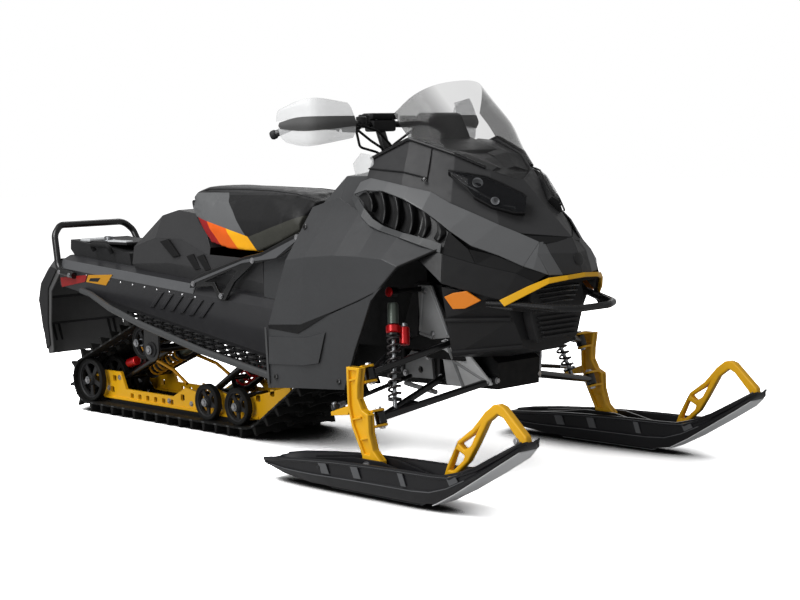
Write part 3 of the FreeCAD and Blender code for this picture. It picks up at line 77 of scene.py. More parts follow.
class SnowmobileColours(bpy.types.PropertyGroup):
    """Colours that a user would change."""

    yellow: FloatVectorProperty(name="Yellow paint", description="Spindles, rails, ski loops and nose strip",
                                subtype="COLOR", size=3, min=0, max=1, default=(0.80, 0.42, 0.008))
    band: FloatVectorProperty(name="Grey band", description="Light band under the hood",
                              subtype="COLOR", size=3, min=0, max=1, default=(0.105, 0.107, 0.11))
    panel: FloatVectorProperty(name="Panel grey", description="Side panels and console",
                               subtype="COLOR", size=3, min=0, max=1, default=(0.040, 0.041, 0.043))
    accent: FloatVectorProperty(name="Red accent", description="Stripe at the tunnel's rear",
                                subtype="COLOR", size=3, min=0, max=1, default=(0.26, 0.012, 0.012))


class SnowmobileShape(bpy.types.PropertyGroup):
    """Sizes that a user would change."""

    edge: FloatProperty(name="Panel edge", description="Radius of the body panels' edges, in millimetres",
                        default=2.4, min=0.2, max=8)
    lug_height: FloatProperty(name="Lug height", description="Height of the track's lugs, in millimetres",
                              default=32, min=10, max=60)
    tube_sides: IntProperty(name="Tube sides", description="Sides of a round tube", default=18, min=8, max=48)
    pitches: IntProperty(name="Track pitches", description="Rows of lugs round the track", default=45,
                         min=20, max=80)


# Finishes
def level(red, green, blue):
    """A linear colour from the eight-bit values a screen shows."""
    return tuple((part / 255) ** 2.2 for part in (red, green, blue))


FINISHES = {
    # name: colour, roughness, metallic, coat, grain per metre, bump, mottling
    "gloss_black": (level(30, 30, 31), 0.28, 0, 0.35, 500, 0.02, 0.12),
    "panel_grey": ("panel", 0.5, 0, 0.1, 700, 0.03, 0.10),
    "hood_grey": (level(34, 34, 35), 0.36, 0, 0.15, 700, 0.03, 0.10),
    "fin_black": (level(17, 17, 18), 0.36, 0, 0.1, 500, 0.02, 0.12),
    "cowl_grey": (level(52, 52, 53), 0.6, 0, 0.1, 700, 0.03, 0.10),
    # the castings' metal made paler for the foot casting: painted light, a lit copy of the castings
    "foot_cast": (level(208, 209, 210), 0.6, 0.2, 0, 380, 0.6, 0.35),
    "pod_grey": (level(54, 54, 55), 0.45, 0, 0.1, 1400, 0.12, 0.14),
    # grey of the hand guards' band, and the snow flap's black made pale: painted light on the flap, which lies
    # in shade
    "worn_grey": (level(84, 84, 84), 0.6, 0, 0, 900, 0.12, 0.16),
    "mid_grey": (level(66, 67, 68), 0.42, 0, 0.1, 700, 0.03, 0.08),
    "band_grey": ("band", 0.38, 0, 0.2, 700, 0.03, 0.08),
    "moulded_black": (level(42, 42, 43), 0.5, 0, 0, 1400, 0.2, 0.18),
    "deep_black": (level(19, 19, 20), 0.6, 0, 0, 1200, 0.18, 0.2),
    "soft_black": (level(28, 28, 29), 0.7, 0, 0, 1600, 0.3, 0.2),
    "rubber": (level(22, 22, 21), 0.7, 0, 0, 500, 0.3, 0.3),
    "ski_plastic": (level(36, 36, 38), 0.36, 0, 0.1, 300, 0.06, 0.22),
    # pale grey for lighter patches on the ski's side, and for painted highlight lines along it
    "ski_scuffed": (level(92, 93, 95), 0.45, 0, 0, 160, 0.08, 0.25),
    # near white for the ski tip's underside: painted light on a face that turns down into shade
    "ski_tip": (level(222, 223, 225), 0.5, 0, 0, 160, 0.06, 0.15),
    "tunnel_paint": (level(50, 50, 52), 0.36, 0.2, 0.2, 900, 0.05, 0.12),
    "bevel_grey": (level(88, 89, 91), 0.42, 0.2, 0.1, 900, 0.05, 0.1),
    "black_steel": (level(22, 22, 23), 0.3, 0.2, 0.4, 900, 0.04, 0.12),
    "castings": (level(146, 147, 148), 0.6, 0.3, 0, 380, 0.6, 0.35),
    "zinc": (level(190, 190, 192), 0.3, 1, 0, 900, 0.05, 0.15),
    "brushed": (level(160, 162, 165), 0.34, 1, 0, 1600, 0.06, 0.12),
    "yellow": ("yellow", 0.38, 0, 0.15, 800, 0.05, 0.10),
    "gold": (level(214, 150, 30), 0.35, 0.3, 0.2, 800, 0.05, 0.12),
    "red_accent": ("accent", 0.4, 0, 0.2, 800, 0.04, 0.1),
    "red_metal": (level(200, 22, 28), 0.3, 0.5, 0.3, 800, 0.03, 0.08),
    "orange": (level(226, 128, 30), 0.36, 0, 0.1, 900, 0.03, 0.08),
    "shock_body": (level(96, 104, 97), 0.36, 0.6, 0.1, 700, 0.04, 0.12),
    "spring_black": (level(44, 38, 40), 0.35, 0.2, 0.4, 700, 0.04, 0.12),
    "seat_vinyl": (level(46, 46, 47), 0.55, 0, 0, 650, 0.5, 0.2),
    "lamp_black": (level(18, 18, 20), 0.5, 0, 0.05, 60, 0.01, 0.1),
    "lamp_red": (level(120, 16, 16), 0.18, 0, 0.5, 300, 0.1, 0.1),
    "deck_light": (level(200, 202, 204), 0.4, 0, 0.1, 900, 0.04, 0.06),
}


class Wiring:
    """The nodes of a material or of the world, added and joined in short calls."""

    def __init__(self, owner):
        owner.use_nodes = True
        self.nodes, self.links = owner.node_tree.nodes, owner.node_tree.links

    def add(self, kind, inputs=None, **settings):
        """The outputs of a new node that has these settings and inputs."""
        node = self.nodes.new(f"ShaderNode{kind}")
        for name, value in settings.items():
            setattr(node, name, value)
        self.feed(node, inputs or {})
        return node.outputs

    def feed(self, node, inputs):
        """Each named input set to its value, or joined to the output that is given for it."""
        for socket, value in inputs.items():
            if isinstance(value, bpy.types.NodeSocket):
                self.links.new(value, node.inputs[socket])
            else:
                node.inputs[socket].default_value = value

    def shader(self):
        return self.nodes["Principled BSDF"]

    def place(self):
        """The spot on the piece, in its own coordinates."""
        return self.add("TexCoord")["Object"]


def solid(wiring, colour, roughness, metallic, coat, grain, bump, mottling):
    """A solid finish: mottled colour, uneven gloss and a fine grain on Object coordinates."""
    if isinstance(colour, str):
        colour = getattr(bpy.context.scene.snowmobile_colours, colour)
    place = wiring.place()

    def noise(scale, detail):
        return wiring.add("TexNoise", {"Scale": scale, "Detail": detail, "Vector": place})["Fac"]

    deep, pale = [(*[min(1, part * share) for part in colour], 1) for share in (1 - mottling, 1 + mottling)]
    tint = wiring.add("Mix", {"A": deep, "B": pale, "Factor": noise(9, 5)}, data_type="RGBA")
    gloss = wiring.add("MapRange", {"From Min": 0.3, "From Max": 0.7, "To Min": roughness * 0.88,
                                    "To Max": min(1, roughness * 1.14), "Value": noise(38, 6)})
    relief = wiring.add("Bump", {"Strength": bump, "Distance": 0.0006, "Height": noise(grain, 3)})
    wiring.feed(wiring.shader(), {"Metallic": metallic, "Coat Weight": coat, "Coat Roughness": 0.12,
                                  "Specular IOR Level": 0.5 if metallic else 0.28,
                                  "Base Color": tint["Result"], "Roughness": gloss["Result"],
                                  "Normal": relief["Normal"]})


SEAT_ZONES = (
    # colour, then the lines that bound it in side view: along, up, limit, and the side that it lies on
    # sides below the seat's top, a darker black than the top's vinyl: painted shade on the sides against the
    # lit top
    (level(24, 24, 25), ((0, 1, 0.862, -1),)),
    (level(58, 58, 53), ((-0.292, 1, 0.752, -1), (1, 0.9, 0.530, 1))),
    (level(250, 176, 24), ((0.208, 1, 0.6955, -1), (1, 0.9, 0.530, -1))),
    (level(226, 96, 26), ((0.208, 1, 0.6955, -1), (1, 0.9, 0.428, -1))),
    (level(150, 30, 30), ((0.208, 1, 0.6955, -1), (1, 0.9, 0.337, -1))),
    (level(30, 30, 31), ((0.208, 1, 0.6955, -1), (1, 0.9, 0.284, -1))),
    (level(94, 95, 96), ((0.208, 1, 0.6955, 1), (1, 1.22, 0.753, -1), (0, 1, 0.870, -1))),
)


def sewn_panels_and_side_shade(wiring):
    """The seat cover's sewn panels, told apart by where they lie in side view, over sides darker than the top:
    painted shade.
    """
    place = wiring.place()
    so_far = wiring.shader().inputs["Base Color"].links[0].from_socket
    for colour, bounds in SEAT_ZONES:
        inside = 1.0
        for along, up, limit, side in bounds:
            line = wiring.add("VectorMath", {0: place, 1: (along * side, 0, up * side)},
                              operation="DOT_PRODUCT")
            beyond = wiring.add("Math", {0: line["Value"], 1: limit * side}, operation="GREATER_THAN")
            inside = wiring.add("Math", {0: beyond["Value"], 1: inside}, operation="MULTIPLY")["Value"]
        panel = wiring.add("Mix", {"Factor": inside, "A": so_far, "B": (*colour, 1)}, data_type="RGBA")
        so_far = panel["Result"]
    wiring.feed(wiring.shader(), {"Base Color": so_far})


CLEAR = {
    # name: colour, roughness, alpha, colour of its clouds
    "screen": (level(84, 84, 84), 0.12, 0.15, level(70, 70, 70)),
    "guard_clear": (level(236, 237, 238), 0.2, 0.4, level(216, 217, 218)),
    "lens_clear": (level(34, 35, 38), 0.24, 0.3, level(22, 23, 25)),
}


def clear(wiring, colour, roughness, alpha, cloud_colour):
    """A see-through plastic: tint and alpha vary a little over it."""
    clouds = wiring.add("TexNoise", {"Scale": 6, "Vector": wiring.place()})["Fac"]
    tint = wiring.add("Mix", {"A": (*colour, 1), "B": (*cloud_colour, 1), "Factor": clouds}, data_type="RGBA")
    veil = wiring.add("MapRange", {"To Min": alpha * 0.9, "To Max": min(1, alpha * 1.1), "Value": clouds})
    wiring.feed(wiring.shader(), {"Roughness": roughness, "Coat Weight": 0.05, "Specular IOR Level": 0.25,
                                  "Base Color": tint["Result"], "Alpha": veil["Result"]})


def painted_wing_shade(wiring):
    """Darkening of the windshield, none down the middle and most at its two wings: painted shade for their
    darker look at a grazing angle.
    """
    shader = wiring.shader()
    spot = wiring.add("SeparateXYZ", {"Vector": wiring.place()})
    aside = wiring.add("Math", {0: spot["Y"]}, operation="ABSOLUTE")
    wing_share = wiring.add("MapRange", {"From Min": 0.105, "From Max": 0.165, "Value": aside["Value"]})["Result"]
    for socket, kind, wing_dark in (("Alpha", "FLOAT", 0.52), ("Base Color", "RGBA", (0.02, 0.02, 0.02, 1))):
        plain = shader.inputs[socket].links[0].from_socket
        blend = wiring.add("Mix", {"Factor": wing_share, "A": plain, "B": wing_dark}, data_type=kind)
        wiring.feed(shader, {socket: blend["Result"]})


def finish(name):
    """The material of a finish, made when it is first asked for."""
    found = bpy.data.materials.get(f"finish_{name}")
    if found:
        return found
    material = bpy.data.materials.new(f"finish_{name}")
    wiring = Wiring(material)
    if name in CLEAR:
        clear(wiring, *CLEAR[name])
    else:
        solid(wiring, *FINISHES[name])
    # The windshield's wings get painted shade.
    if name == "screen":
        painted_wing_shade(wiring)
    if name == "seat_vinyl":
        sewn_panels_and_side_shade(wiring)
    return material


# Meshes
def verts_of(made):
    return [item for item in made if isinstance(item, bmesh.types.BMVert)]


def edges_of(made):
    return [item for item in made if isinstance(item, bmesh.types.BMEdge)]


def faces_of(made):
    return [item for item in made if isinstance(item, bmesh.types.BMFace)]


def panel(rows, out, angle=4):
    """A body panel drawn from row to row, with the panels' wall and edge."""
    edge = bpy.context.scene.snowmobile_shape.edge
    return drawn(rows, out, wall=PANEL_WALL, edge=edge, angle=angle)


def facing(start, towards):
    """The place of a shape that stands on the start, with its Z axis in a direction."""
    turn = Vector(towards).to_track_quat("Z", "Y").to_matrix().to_4x4()
    return Matrix.Translation(Vector(start)) @ turn


def soften(bm, width, segments=2, angle=28):
    """Rounded edges where faces meet at more than an angle."""
    edges = [edge for edge in bm.edges
             if len(edge.link_faces) == 2 and edge.calc_face_angle(0) > math.radians(angle)]
    if width and edges:
        bmesh.ops.bevel(bm, geom=edges, offset=width, offset_type="OFFSET", segments=segments, profile=0.5,
                        affect="EDGES", material=-1, clamp_overlap=True)
    return bm


def slab(corners, low, high, edge=1.5, holes=(), segments=2, plane="XZ"):
    """A flat plate between two planes, from an outline and the outlines of its holes."""
    spot = {"XZ": lambda a, b: (a, low, b), "XY": lambda a, b: (a, b, low),
            "YZ": lambda a, b: (low, a, b)}[plane]
    push = {"XZ": (0, high - low, 0), "XY": (0, 0, high - low), "YZ": (high - low, 0, 0)}[plane]
    bm = bmesh.new()
    edges = []
    for outline in (corners, *holes):
        ring = [bm.verts.new(spot(*corner)) for corner in outline]
        edges += [bm.edges.new(pair) for pair in zip(ring, ring[1:] + ring[:1])]
    if holes:
        bmesh.ops.triangle_fill(bm, edges=edges, use_beauty=True, use_dissolve=False)
    else:
        bmesh.ops.contextual_create(bm, geom=edges)
    made = bmesh.ops.extrude_face_region(bm, geom=bm.faces[:])["geom"]
    bmesh.ops.translate(bm, vec=push, verts=verts_of(made))
    bmesh.ops.recalc_face_normals(bm, faces=bm.faces[:])
    return soften(bm, edge, segments)


def ring_points(x, z, radius, count=24, start=0.0):
    """Corners of a round outline."""
    turns = [start + 2 * math.pi * number / count for number in range(count)]
    return [(x + radius * math.cos(turn), z + radius * math.sin(turn)) for turn in turns]


def drawn(rows, out, wall=0, closed=False, edge=0.0, segments=2, angle=12):
    """A surface drawn from row to row of points, with a wall behind it; out is its outward side."""
    bm = bmesh.new()
    chain = [bm.verts.new(Vector(point)) for point in rows[0]]
    line = [bm.edges.new(pair) for pair in zip(chain, chain[1:])]
    if closed:
        line.append(bm.edges.new((chain[-1], chain[0])))
    for row in rows[1:]:
        made = bmesh.ops.extrude_edge_only(bm, edges=line)["geom"]
        fresh = {tuple(vert.co): vert for vert in verts_of(made)}
        line = [item for item in edges_of(made) if all(tuple(vert.co) in fresh for vert in item.verts)
                and all(fresh[tuple(vert.co)] == vert for vert in item.verts)]
        chain = [fresh[tuple(vert.co)] for vert in chain]
        for vert, point in zip(chain, row):
            vert.co = Vector(point)
    bmesh.ops.remove_doubles(bm, verts=bm.verts[:], dist=0.02)
    if closed:
        bmesh.ops.holes_fill(bm, edges=bm.edges[:], sides=0)
        bmesh.ops.recalc_face_normals(bm, faces=bm.faces[:])
        return soften(bm, edge, segments, angle)
    bmesh.ops.recalc_face_normals(bm, faces=bm.faces[:])
    bm.normal_update()
    if sum((face.normal.dot(Vector(out)) * face.calc_area() for face in bm.faces)) < 0:
        bmesh.ops.reverse_faces(bm, faces=bm.faces[:])
    if wall:
        thicken(bm, wall)
    return soften(bm, edge, segments, angle)


def eased(rows, steps=4):
    """The rows, and the points in them, with more between on smooth curves through them."""
    def curve(points):
        points = [Vector(point) for point in points]
        ends = [points[0] * 2 - points[1], *points, points[-1] * 2 - points[-2]]
        line = []
        for before, here, there, after in zip(ends, ends[1:], ends[2:], ends[3:]):
            for step in range(steps):
                t = step / steps
                line.append(0.5 * (here * 2 + (there - before) * t
                                   + (before * 2 - here * 5 + there * 4 - after) * t * t
                                   + (here * 3 - before - there * 3 + after) * t ** 3))
        return [*line, points[-1]]

    wide = [curve(row) for row in rows]
    return list(zip(*[curve(column) for column in zip(*wide)]))


def thicken(bm, wall):
    """A wall behind an open surface: a copy pushed inwards and joined round its rim."""
    bm.normal_update()
    inward = {vert: vert.co - vert.normal * wall for vert in bm.verts}
    made = bmesh.ops.duplicate(bm, geom=bm.verts[:] + bm.edges[:] + bm.faces[:])
    for before, after in made["vert_map"].items():
        if before in inward:
            after.co = inward[before]
    back = faces_of(made["geom"])
    bmesh.ops.reverse_faces(bm, faces=back)
    rims = [edge for edge in bm.edges if len(edge.link_faces) == 1]
    bmesh.ops.bridge_loops(bm, edges=rims)
    bmesh.ops.recalc_face_normals(bm, faces=bm.faces[:])
    bm.normal_update()


def tube(route, radius, bend=40, sides=16):
    """A round tube bent along a route of points, with closed ends."""
    spots = [Vector(point) for point in route]
    heading = (spots[1] - spots[0]).normalized()
    bm = bmesh.new()
    bmesh.ops.create_circle(bm, cap_ends=True, radius=radius, segments=sides, matrix=facing(spots[0], heading))
    ring = bm.edges[:]
    place = spots[0]
    for index, corner in enumerate(spots[1:], start=1):
        ahead = (spots[index + 1] - corner).normalized() if index < len(spots) - 1 else heading
        turn = heading.angle(ahead)
        reach = 0
        if turn > 0.02:
            room = 0.48 * min((corner - place).length, (spots[index + 1] - corner).length)
            reach = min(bend * math.tan(turn / 2), room)
        ring = carried(bm, ring, corner - heading * reach - place)
        place = corner - heading * reach
        if turn > 0.02:
            axis = heading.cross(ahead).normalized()
            centre = place + axis.cross(heading) * (reach / math.tan(turn / 2))
            ring = edges_of(bmesh.ops.spin(bm, geom=ring, cent=centre, axis=axis, angle=turn,
                                           steps=max(2, round(turn / 0.16)), use_merge=False,
                                           use_duplicate=False)["geom_last"])
            place = corner + ahead * reach
            heading = ahead
    bmesh.ops.contextual_create(bm, geom=ring)
    bmesh.ops.recalc_face_normals(bm, faces=bm.faces[:])
    return bm


def carried(bm, ring, step):
    """The ring extruded and moved on by a step."""
    made = bmesh.ops.extrude_edge_only(bm, edges=ring)["geom"]
    moved = verts_of(made)
    bmesh.ops.translate(bm, vec=step, verts=moved)
    there = set(moved)
    return [edge for edge in edges_of(made) if all(vert in there for vert in edge.verts)]


def lathe(profile, start, towards, steps=28):
    """A turned shape: (distance along the axis, radius) pairs spun about the axis."""
    bm = bmesh.new()
    chain = [bm.verts.new((radius, 0, along)) for along, radius in profile]
    line = [bm.edges.new(pair) for pair in zip(chain, chain[1:])]
    bmesh.ops.spin(bm, geom=chain + line, cent=(0, 0, 0), axis=UP, angle=2 * math.pi, steps=steps,
                   use_merge=True, use_duplicate=False)
    bmesh.ops.remove_doubles(bm, verts=bm.verts[:], dist=0.01)
    bmesh.ops.recalc_face_normals(bm, faces=bm.faces[:])
    bmesh.ops.transform(bm, matrix=facing(start, towards), verts=bm.verts[:])
    return bm


def bar(start, end, radius, edge=1.0, steps=20):
    """A round pin between two points, with softened ends."""
    start, end = Vector(start), Vector(end)
    length = (end - start).length
    return lathe([(0, 0), (0, radius - edge), (edge, radius), (length - edge, radius), (length, radius - edge),
                  (length, 0)], start, end - start, steps)


def bolt(at, towards, radius, height=None):
    """A hexagon bolt head with its washer."""
    height = height or radius * 0.7
    head = lathe([(height * 0.25, 0), (height * 0.25, radius * 0.95), (height * 0.9, radius * 0.95),
                  (height, radius * 0.8), (height, 0)], at, towards, 6)
    washer = lathe([(-1, 0), (-1, radius * 1.3), (height * 0.22, radius * 1.3), (height * 0.3, 0)], at,
                   towards, 20)
    return merged(head, washer)


def coil(start, end, radius, wire, turns, steps=18, sides=8):
    """A coil spring between two points."""
    start, end = Vector(start), Vector(end)
    bm = bmesh.new()
    lean = Matrix.Translation((radius, 0, wire)) @ Matrix.Rotation(math.pi / 2, 4, "X")
    bmesh.ops.create_circle(bm, cap_ends=True, radius=wire, segments=sides, matrix=lean)
    count = round(turns * steps)
    rise = ((end - start).length - 2 * wire) / count
    made = bmesh.ops.spin(bm, geom=bm.edges[:], cent=(0, 0, 0), axis=UP, angle=2 * math.pi * turns,
                          dvec=(0, 0, rise), steps=count, use_merge=False, use_duplicate=False)
    bmesh.ops.contextual_create(bm, geom=edges_of(made["geom_last"]))
    bmesh.ops.recalc_face_normals(bm, faces=bm.faces[:])
    bmesh.ops.transform(bm, matrix=facing(start, end - start), verts=bm.verts[:])
    return bm


def block(centre, size, edge=1.5, turn=None, taper=1.0):
    """A softened block, narrowed towards its top."""
    bm = bmesh.new()
    bmesh.ops.create_cube(bm, size=1)
    bmesh.ops.scale(bm, vec=size, verts=bm.verts[:])
    bmesh.ops.scale(bm, vec=(taper, taper, 1), verts=[vert for vert in bm.verts if vert.co.z > 0])
    soften(bm, edge)
    place = Matrix.Translation(Vector(centre)) @ (turn or Matrix.Identity(4))
    bmesh.ops.transform(bm, matrix=place, verts=bm.verts[:])
    return bm


def tilt(degrees, axis):
    return Matrix.Rotation(math.radians(degrees), 4, axis)


def pour(target, source):
    """The source's mesh added to the target's."""
    scratch = bpy.data.meshes.new("scratch")
    source.to_mesh(scratch)
    source.free()
    target.from_mesh(scratch)
    bpy.data.meshes.remove(scratch)


def merged(first, *others):
    """The first shape with the others in it."""
    for other in others:
        pour(first, other)
    return first


def flipped(bm):
    """The shape's mirror image on the other side of the machine."""
    other = bm.copy()
    bmesh.ops.scale(other, vec=(1, -1, 1), verts=other.verts[:])
    bmesh.ops.reverse_faces(other, faces=other.faces[:])
    return other


def across(row):
    """A row on the right carried over the centre line."""
    return tuple(row) + tuple((x, -y, z) for x, y, z in reversed(row) if y)


def between(low, high, share):
    """The row at a share of the way between two rows."""
    return tuple(tuple(a + (b - a) * share for a, b in zip(one, other)) for one, other in zip(low, high))


def reading(corners, x, beyond):
    """The second coordinate of a line of corners where the first one is x."""
    for (low, near), (high, far) in zip(corners, corners[1:]):
        if low <= x <= high:
            return near + (far - near) * (x - low) / (high - low)
    return beyond


def as_object(name, bm):
    """The shape as a new object of the scene."""
    mesh = bpy.data.meshes.new(name)
    bm.to_mesh(mesh)
    bm.free()
    return in_scene(name, mesh)


def in_scene(name, data):
    """A new object of the scene for a mesh, a light or a camera."""
    item = bpy.data.objects.new(name, data)
    bpy.context.scene.collection.objects.link(item)
    return item


class Pieces:
    """Meshes gathered by finish, made into one object for each finish."""

    def __init__(self, name, body, *replaced):
        self.name, self.body, self.replaced = name, body, replaced
        self.meshes = {}

    def add(self, finish_name, *shapes):
        for shape in shapes:
            if finish_name in self.meshes:
                pour(self.meshes[finish_name], shape)
            else:
                self.meshes[finish_name] = shape

    def both(self, finish_name, shape):
        """The shape and its mirror image on the machine's other side."""
        self.add(finish_name, merged(shape, flipped(shape)))

    def bolts(self, y, radius, *spots):
        """Bolt heads that face outwards at (x, z) spots on both sides."""
        for x, z in spots:
            self.both("zinc", bolt((x, y, z), RIGHT, radius))

    def make(self):
        """One object for each finish, in metres; the replaced nodes are hidden."""
        made = []
        for finish_name, bm in self.meshes.items():
            bmesh.ops.scale(bm, vec=(MM, MM, MM), verts=bm.verts[:])
            made.append(self.place(f"{self.name}_{finish_name}", bm, finish_name))
        for node in self.replaced:
            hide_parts(node)
        return made

    def place(self, name, bm, finish_name):
        """The mesh as an object on its body, smooth but for its sharp edges."""
        bm.normal_update()
        for face in bm.faces:
            face.smooth = True
        for edge in bm.edges:
            if len(edge.link_faces) == 2 and edge.calc_face_angle(0) > SHARP_ANGLE:
                edge.smooth = False
        item = as_object(name, bm)
        item.data.materials.append(finish(finish_name))
        even = item.modifiers.new("Even shading", "WEIGHTED_NORMAL")
        even.keep_sharp = True
        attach(item, self.body)
        return item


def corner_piece(side, name, body, shapes, *nodes):
    """A piece of one front corner, from the finishes and shapes of the right one."""
    pieces = Pieces(f"{name}_{side}", f"{side}_{body}", *[f"{node}_{side}" for node in nodes])
    for finish_name, shape in shapes:
        pieces.add(finish_name, flipped(shape) if side == "left" else shape)
    pieces.make()


# Stage
def add_floor():
    """A wide plane: white with soft contact shadows to the camera, mid grey in the light that it returns."""
    bm = bmesh.new()
    bmesh.ops.create_grid(bm, x_segments=2, y_segments=2, size=30)
    item = as_object("Floor", bm)
    item.location.z = -0.0005
    material = bpy.data.materials.new("Floor")
    wiring = Wiring(material)
    wiring.nodes.remove(wiring.shader())
    contact = wiring.add("AmbientOcclusion", {"Distance": 0.36}, samples=16)
    shade = wiring.add("MapRange", {"From Min": 0.3, "From Max": 0.66, "To Min": 0.02, "To Max": 3.4,
                                    "Value": contact["AO"]})
    seen = wiring.add("BsdfDiffuse", {"Color": shade["Result"]})
    bounced = wiring.add("BsdfDiffuse", {"Color": (0.5, 0.5, 0.5, 1)})
    choice = wiring.add("MixShader", {"Fac": wiring.add("LightPath")["Is Camera Ray"],
                                      1: bounced["BSDF"], 2: seen["BSDF"]})
    wiring.feed(wiring.nodes["Material Output"], {"Surface": choice["Shader"]})
    item.data.materials.append(material)


def new_sky():
    """An even sky, white to the camera and dimmer as a light."""
    world = bpy.data.worlds.new("World")
    wiring = Wiring(world)
    rays = wiring.add("LightPath")
    seen = wiring.add("Math", {0: rays["Is Camera Ray"], 1: rays["Is Transmission Ray"]}, operation="MAXIMUM")
    strength = wiring.add("MapRange", {"To Min": 0.34, "To Max": 1.0, "Value": seen["Value"]})
    wiring.feed(wiring.nodes["Background"], {"Color": (1, 1, 1, 1), "Strength": strength["Result"]})
    return world


class SNOWMOBILE_OT_stage(bpy.types.Operator):
    """Floor, soft light, pale surroundings and the camera at the photograph's angle"""

    bl_idname = "snowmobile.stage"
    bl_label = "Stage and camera"

    def execute(self, context):
        scene = context.scene
        scene.view_settings.view_transform = "Standard"
        add_floor()
        scene.world = new_sky()
        for name, place, size, power in (("Key light", (-1.0, -3.2, 5.2), 3.0, 220),
                                         ("Side light", (0.9, -7.2, 2.4), 3.4, 190),
                                         ("Far light", (-3.5, 4.5, 4.6), 3.6, 110)):
            lamp = bpy.data.lights.new(name, "AREA")
            lamp.size, lamp.energy = size, power
            item = in_scene(name, lamp)
            item.location = place
            item.rotation_mode = "QUATERNION"
            item.rotation_quaternion = (Vector((0, 0, 0.5)) - Vector(place)).to_track_quat("-Z", "Y")
        camera = bpy.data.cameras.new("Camera")
        camera.sensor_width = SENSOR_WIDTH
        camera.lens = FOCAL_PIXELS / PHOTO_WIDTH * SENSOR_WIDTH
        camera.clip_end = 200
        scene.camera = in_scene("Camera", camera)
        scene.camera.matrix_world = camera_place()
        return {"FINISHED"}


CAMERA_SPOT = (4323.2, -3750.1, 1021.6)
CAMERA_TURNS = (135.98, -5.41, -1.42)


def camera_place():
    """The camera fitted to the photograph: its spot, its heading and a slight roll."""
    heading, rise, roll = (math.radians(turn) for turn in CAMERA_TURNS)
    ahead = Vector((math.cos(rise) * math.cos(heading), math.cos(rise) * math.sin(heading), math.sin(rise)))
    level_side = ahead.cross(Vector(UP)).normalized()
    level_up = level_side.cross(ahead)
    side = level_side * math.cos(roll) + level_up * math.sin(roll)
    up = level_up * math.cos(roll) - level_side * math.sin(roll)
    turn = Matrix((side, up, -ahead)).transposed().to_4x4()
    return Matrix.Translation(Vector(CAMERA_SPOT) * MM) @ turn


# Track, with each wheel as x, z and radius
REAR_WHEEL = (-1170, 124, 85)
UPPER_IDLER = (-800, 300, 67)
BOGIES = ((-414, 106, 67), (-238, 106, 67))
WRAPPED = ((-195, 209, 170), (136, 333, 88), UPPER_IDLER, REAR_WHEEL)
BELT_HALF, BELT_THICK = 190, 7


def belt_runs(offset):
    """Where the belt comes on to each wheel, as (x, z, radius, start angle, sweep)."""
    leaves = []
    for (x, z, radius), (next_x, next_z, next_radius) in zip(WRAPPED, WRAPPED[1:] + WRAPPED[:1]):
        away = math.atan2(next_z - z, next_x - x)
        leaves.append(away - math.acos((radius - next_radius) / math.hypot(next_x - x, next_z - z)))
    runs = []
    for (x, z, radius), onto, off in zip(WRAPPED, leaves[-1:] + leaves[:-1], leaves):
        runs.append((x, z, radius + offset, onto, (off - onto) % (2 * math.pi)))
    return runs


def belt_spots(offset, count, shift=0.0):
    """Matrices evenly spaced along the belt: X along it, Z out of the loop."""
    runs = belt_runs(offset)
    parts = []
    for index, (x, z, radius, start, sweep) in enumerate(runs):
        parts.append(("bend", radius * sweep, (x, z, radius, start)))
        end = Vector((x + radius * math.cos(start + sweep), 0, z + radius * math.sin(start + sweep)))
        x, z, radius, start = runs[(index + 1) % len(runs)][:4]
        following = Vector((x + radius * math.cos(start), 0, z + radius * math.sin(start)))
        parts.append(("run", (following - end).length, (end, following)))
    whole = sum(part[1] for part in parts)
    places = []
    for number in range(count):
        left = (number + shift) * whole / count % whole
        for kind, length, facts in parts:
            if left <= length:
                break
            left -= length
        if kind == "bend":
            x, z, radius, start = facts
            turn = start + left / radius
            out = Vector((math.cos(turn), 0, math.sin(turn)))
            spot = Vector((x, 0, z)) + out * radius
        else:
            ahead = (facts[1] - facts[0]).normalized()
            out = Vector((ahead.z, 0, -ahead.x))
            spot = facts[0] + ahead * left
        along = Vector((-out.z, 0, out.x))
        sideways = out.cross(along)
        places.append(Matrix.Translation(spot) @ Matrix((along, sideways, out)).transposed().to_4x4())
    return places


def repeated(template, places):
    """Copies of a small shape at several places, in one mesh."""
    scratch = bpy.data.meshes.new("scratch")
    template.to_mesh(scratch)
    template.free()
    bm = bmesh.new()
    for place in places:
        before = len(bm.verts)
        bm.from_mesh(scratch)
        bm.verts.ensure_lookup_table()
        bmesh.ops.transform(bm, matrix=place, verts=bm.verts[before:])
    bpy.data.meshes.remove(scratch)
    return bm


def belt_shape():
    """The belt's section spun round each wheel and carried along each straight run."""
    bm = bmesh.new()
    runs = belt_runs(0)
    x, z, radius, start, sweep = runs[0]
    out = Vector((math.cos(start), 0, math.sin(start)))
    section = ((-BELT_HALF, 0), (BELT_HALF, 0), (BELT_HALF, BELT_THICK), (-BELT_HALF, BELT_THICK))
    corners = [bm.verts.new(Vector((x, side, z)) + out * (radius + depth)) for side, depth in section]
    ring = [bm.edges.new(ends) for ends in zip(corners, corners[1:] + corners[:1])]
    for index, (x, z, radius, start, sweep) in enumerate(runs):
        ring = edges_of(bmesh.ops.spin(bm, geom=ring, cent=(x, 0, z), axis=RIGHT, angle=sweep,
                                       steps=max(4, round(sweep / 0.09)), use_merge=False,
                                       use_duplicate=False)["geom_last"])
        end = Vector((x + radius * math.cos(start + sweep), 0, z + radius * math.sin(start + sweep)))
        x, z, radius, start = runs[(index + 1) % len(runs)][:4]
        following = Vector((x + radius * math.cos(start), 0, z + radius * math.sin(start)))
        ring = carried(bm, ring, following - end)
    bmesh.ops.remove_doubles(bm, verts=bm.verts[:], dist=0.3)
    bmesh.ops.recalc_face_normals(bm, faces=bm.faces[:])
    return bm


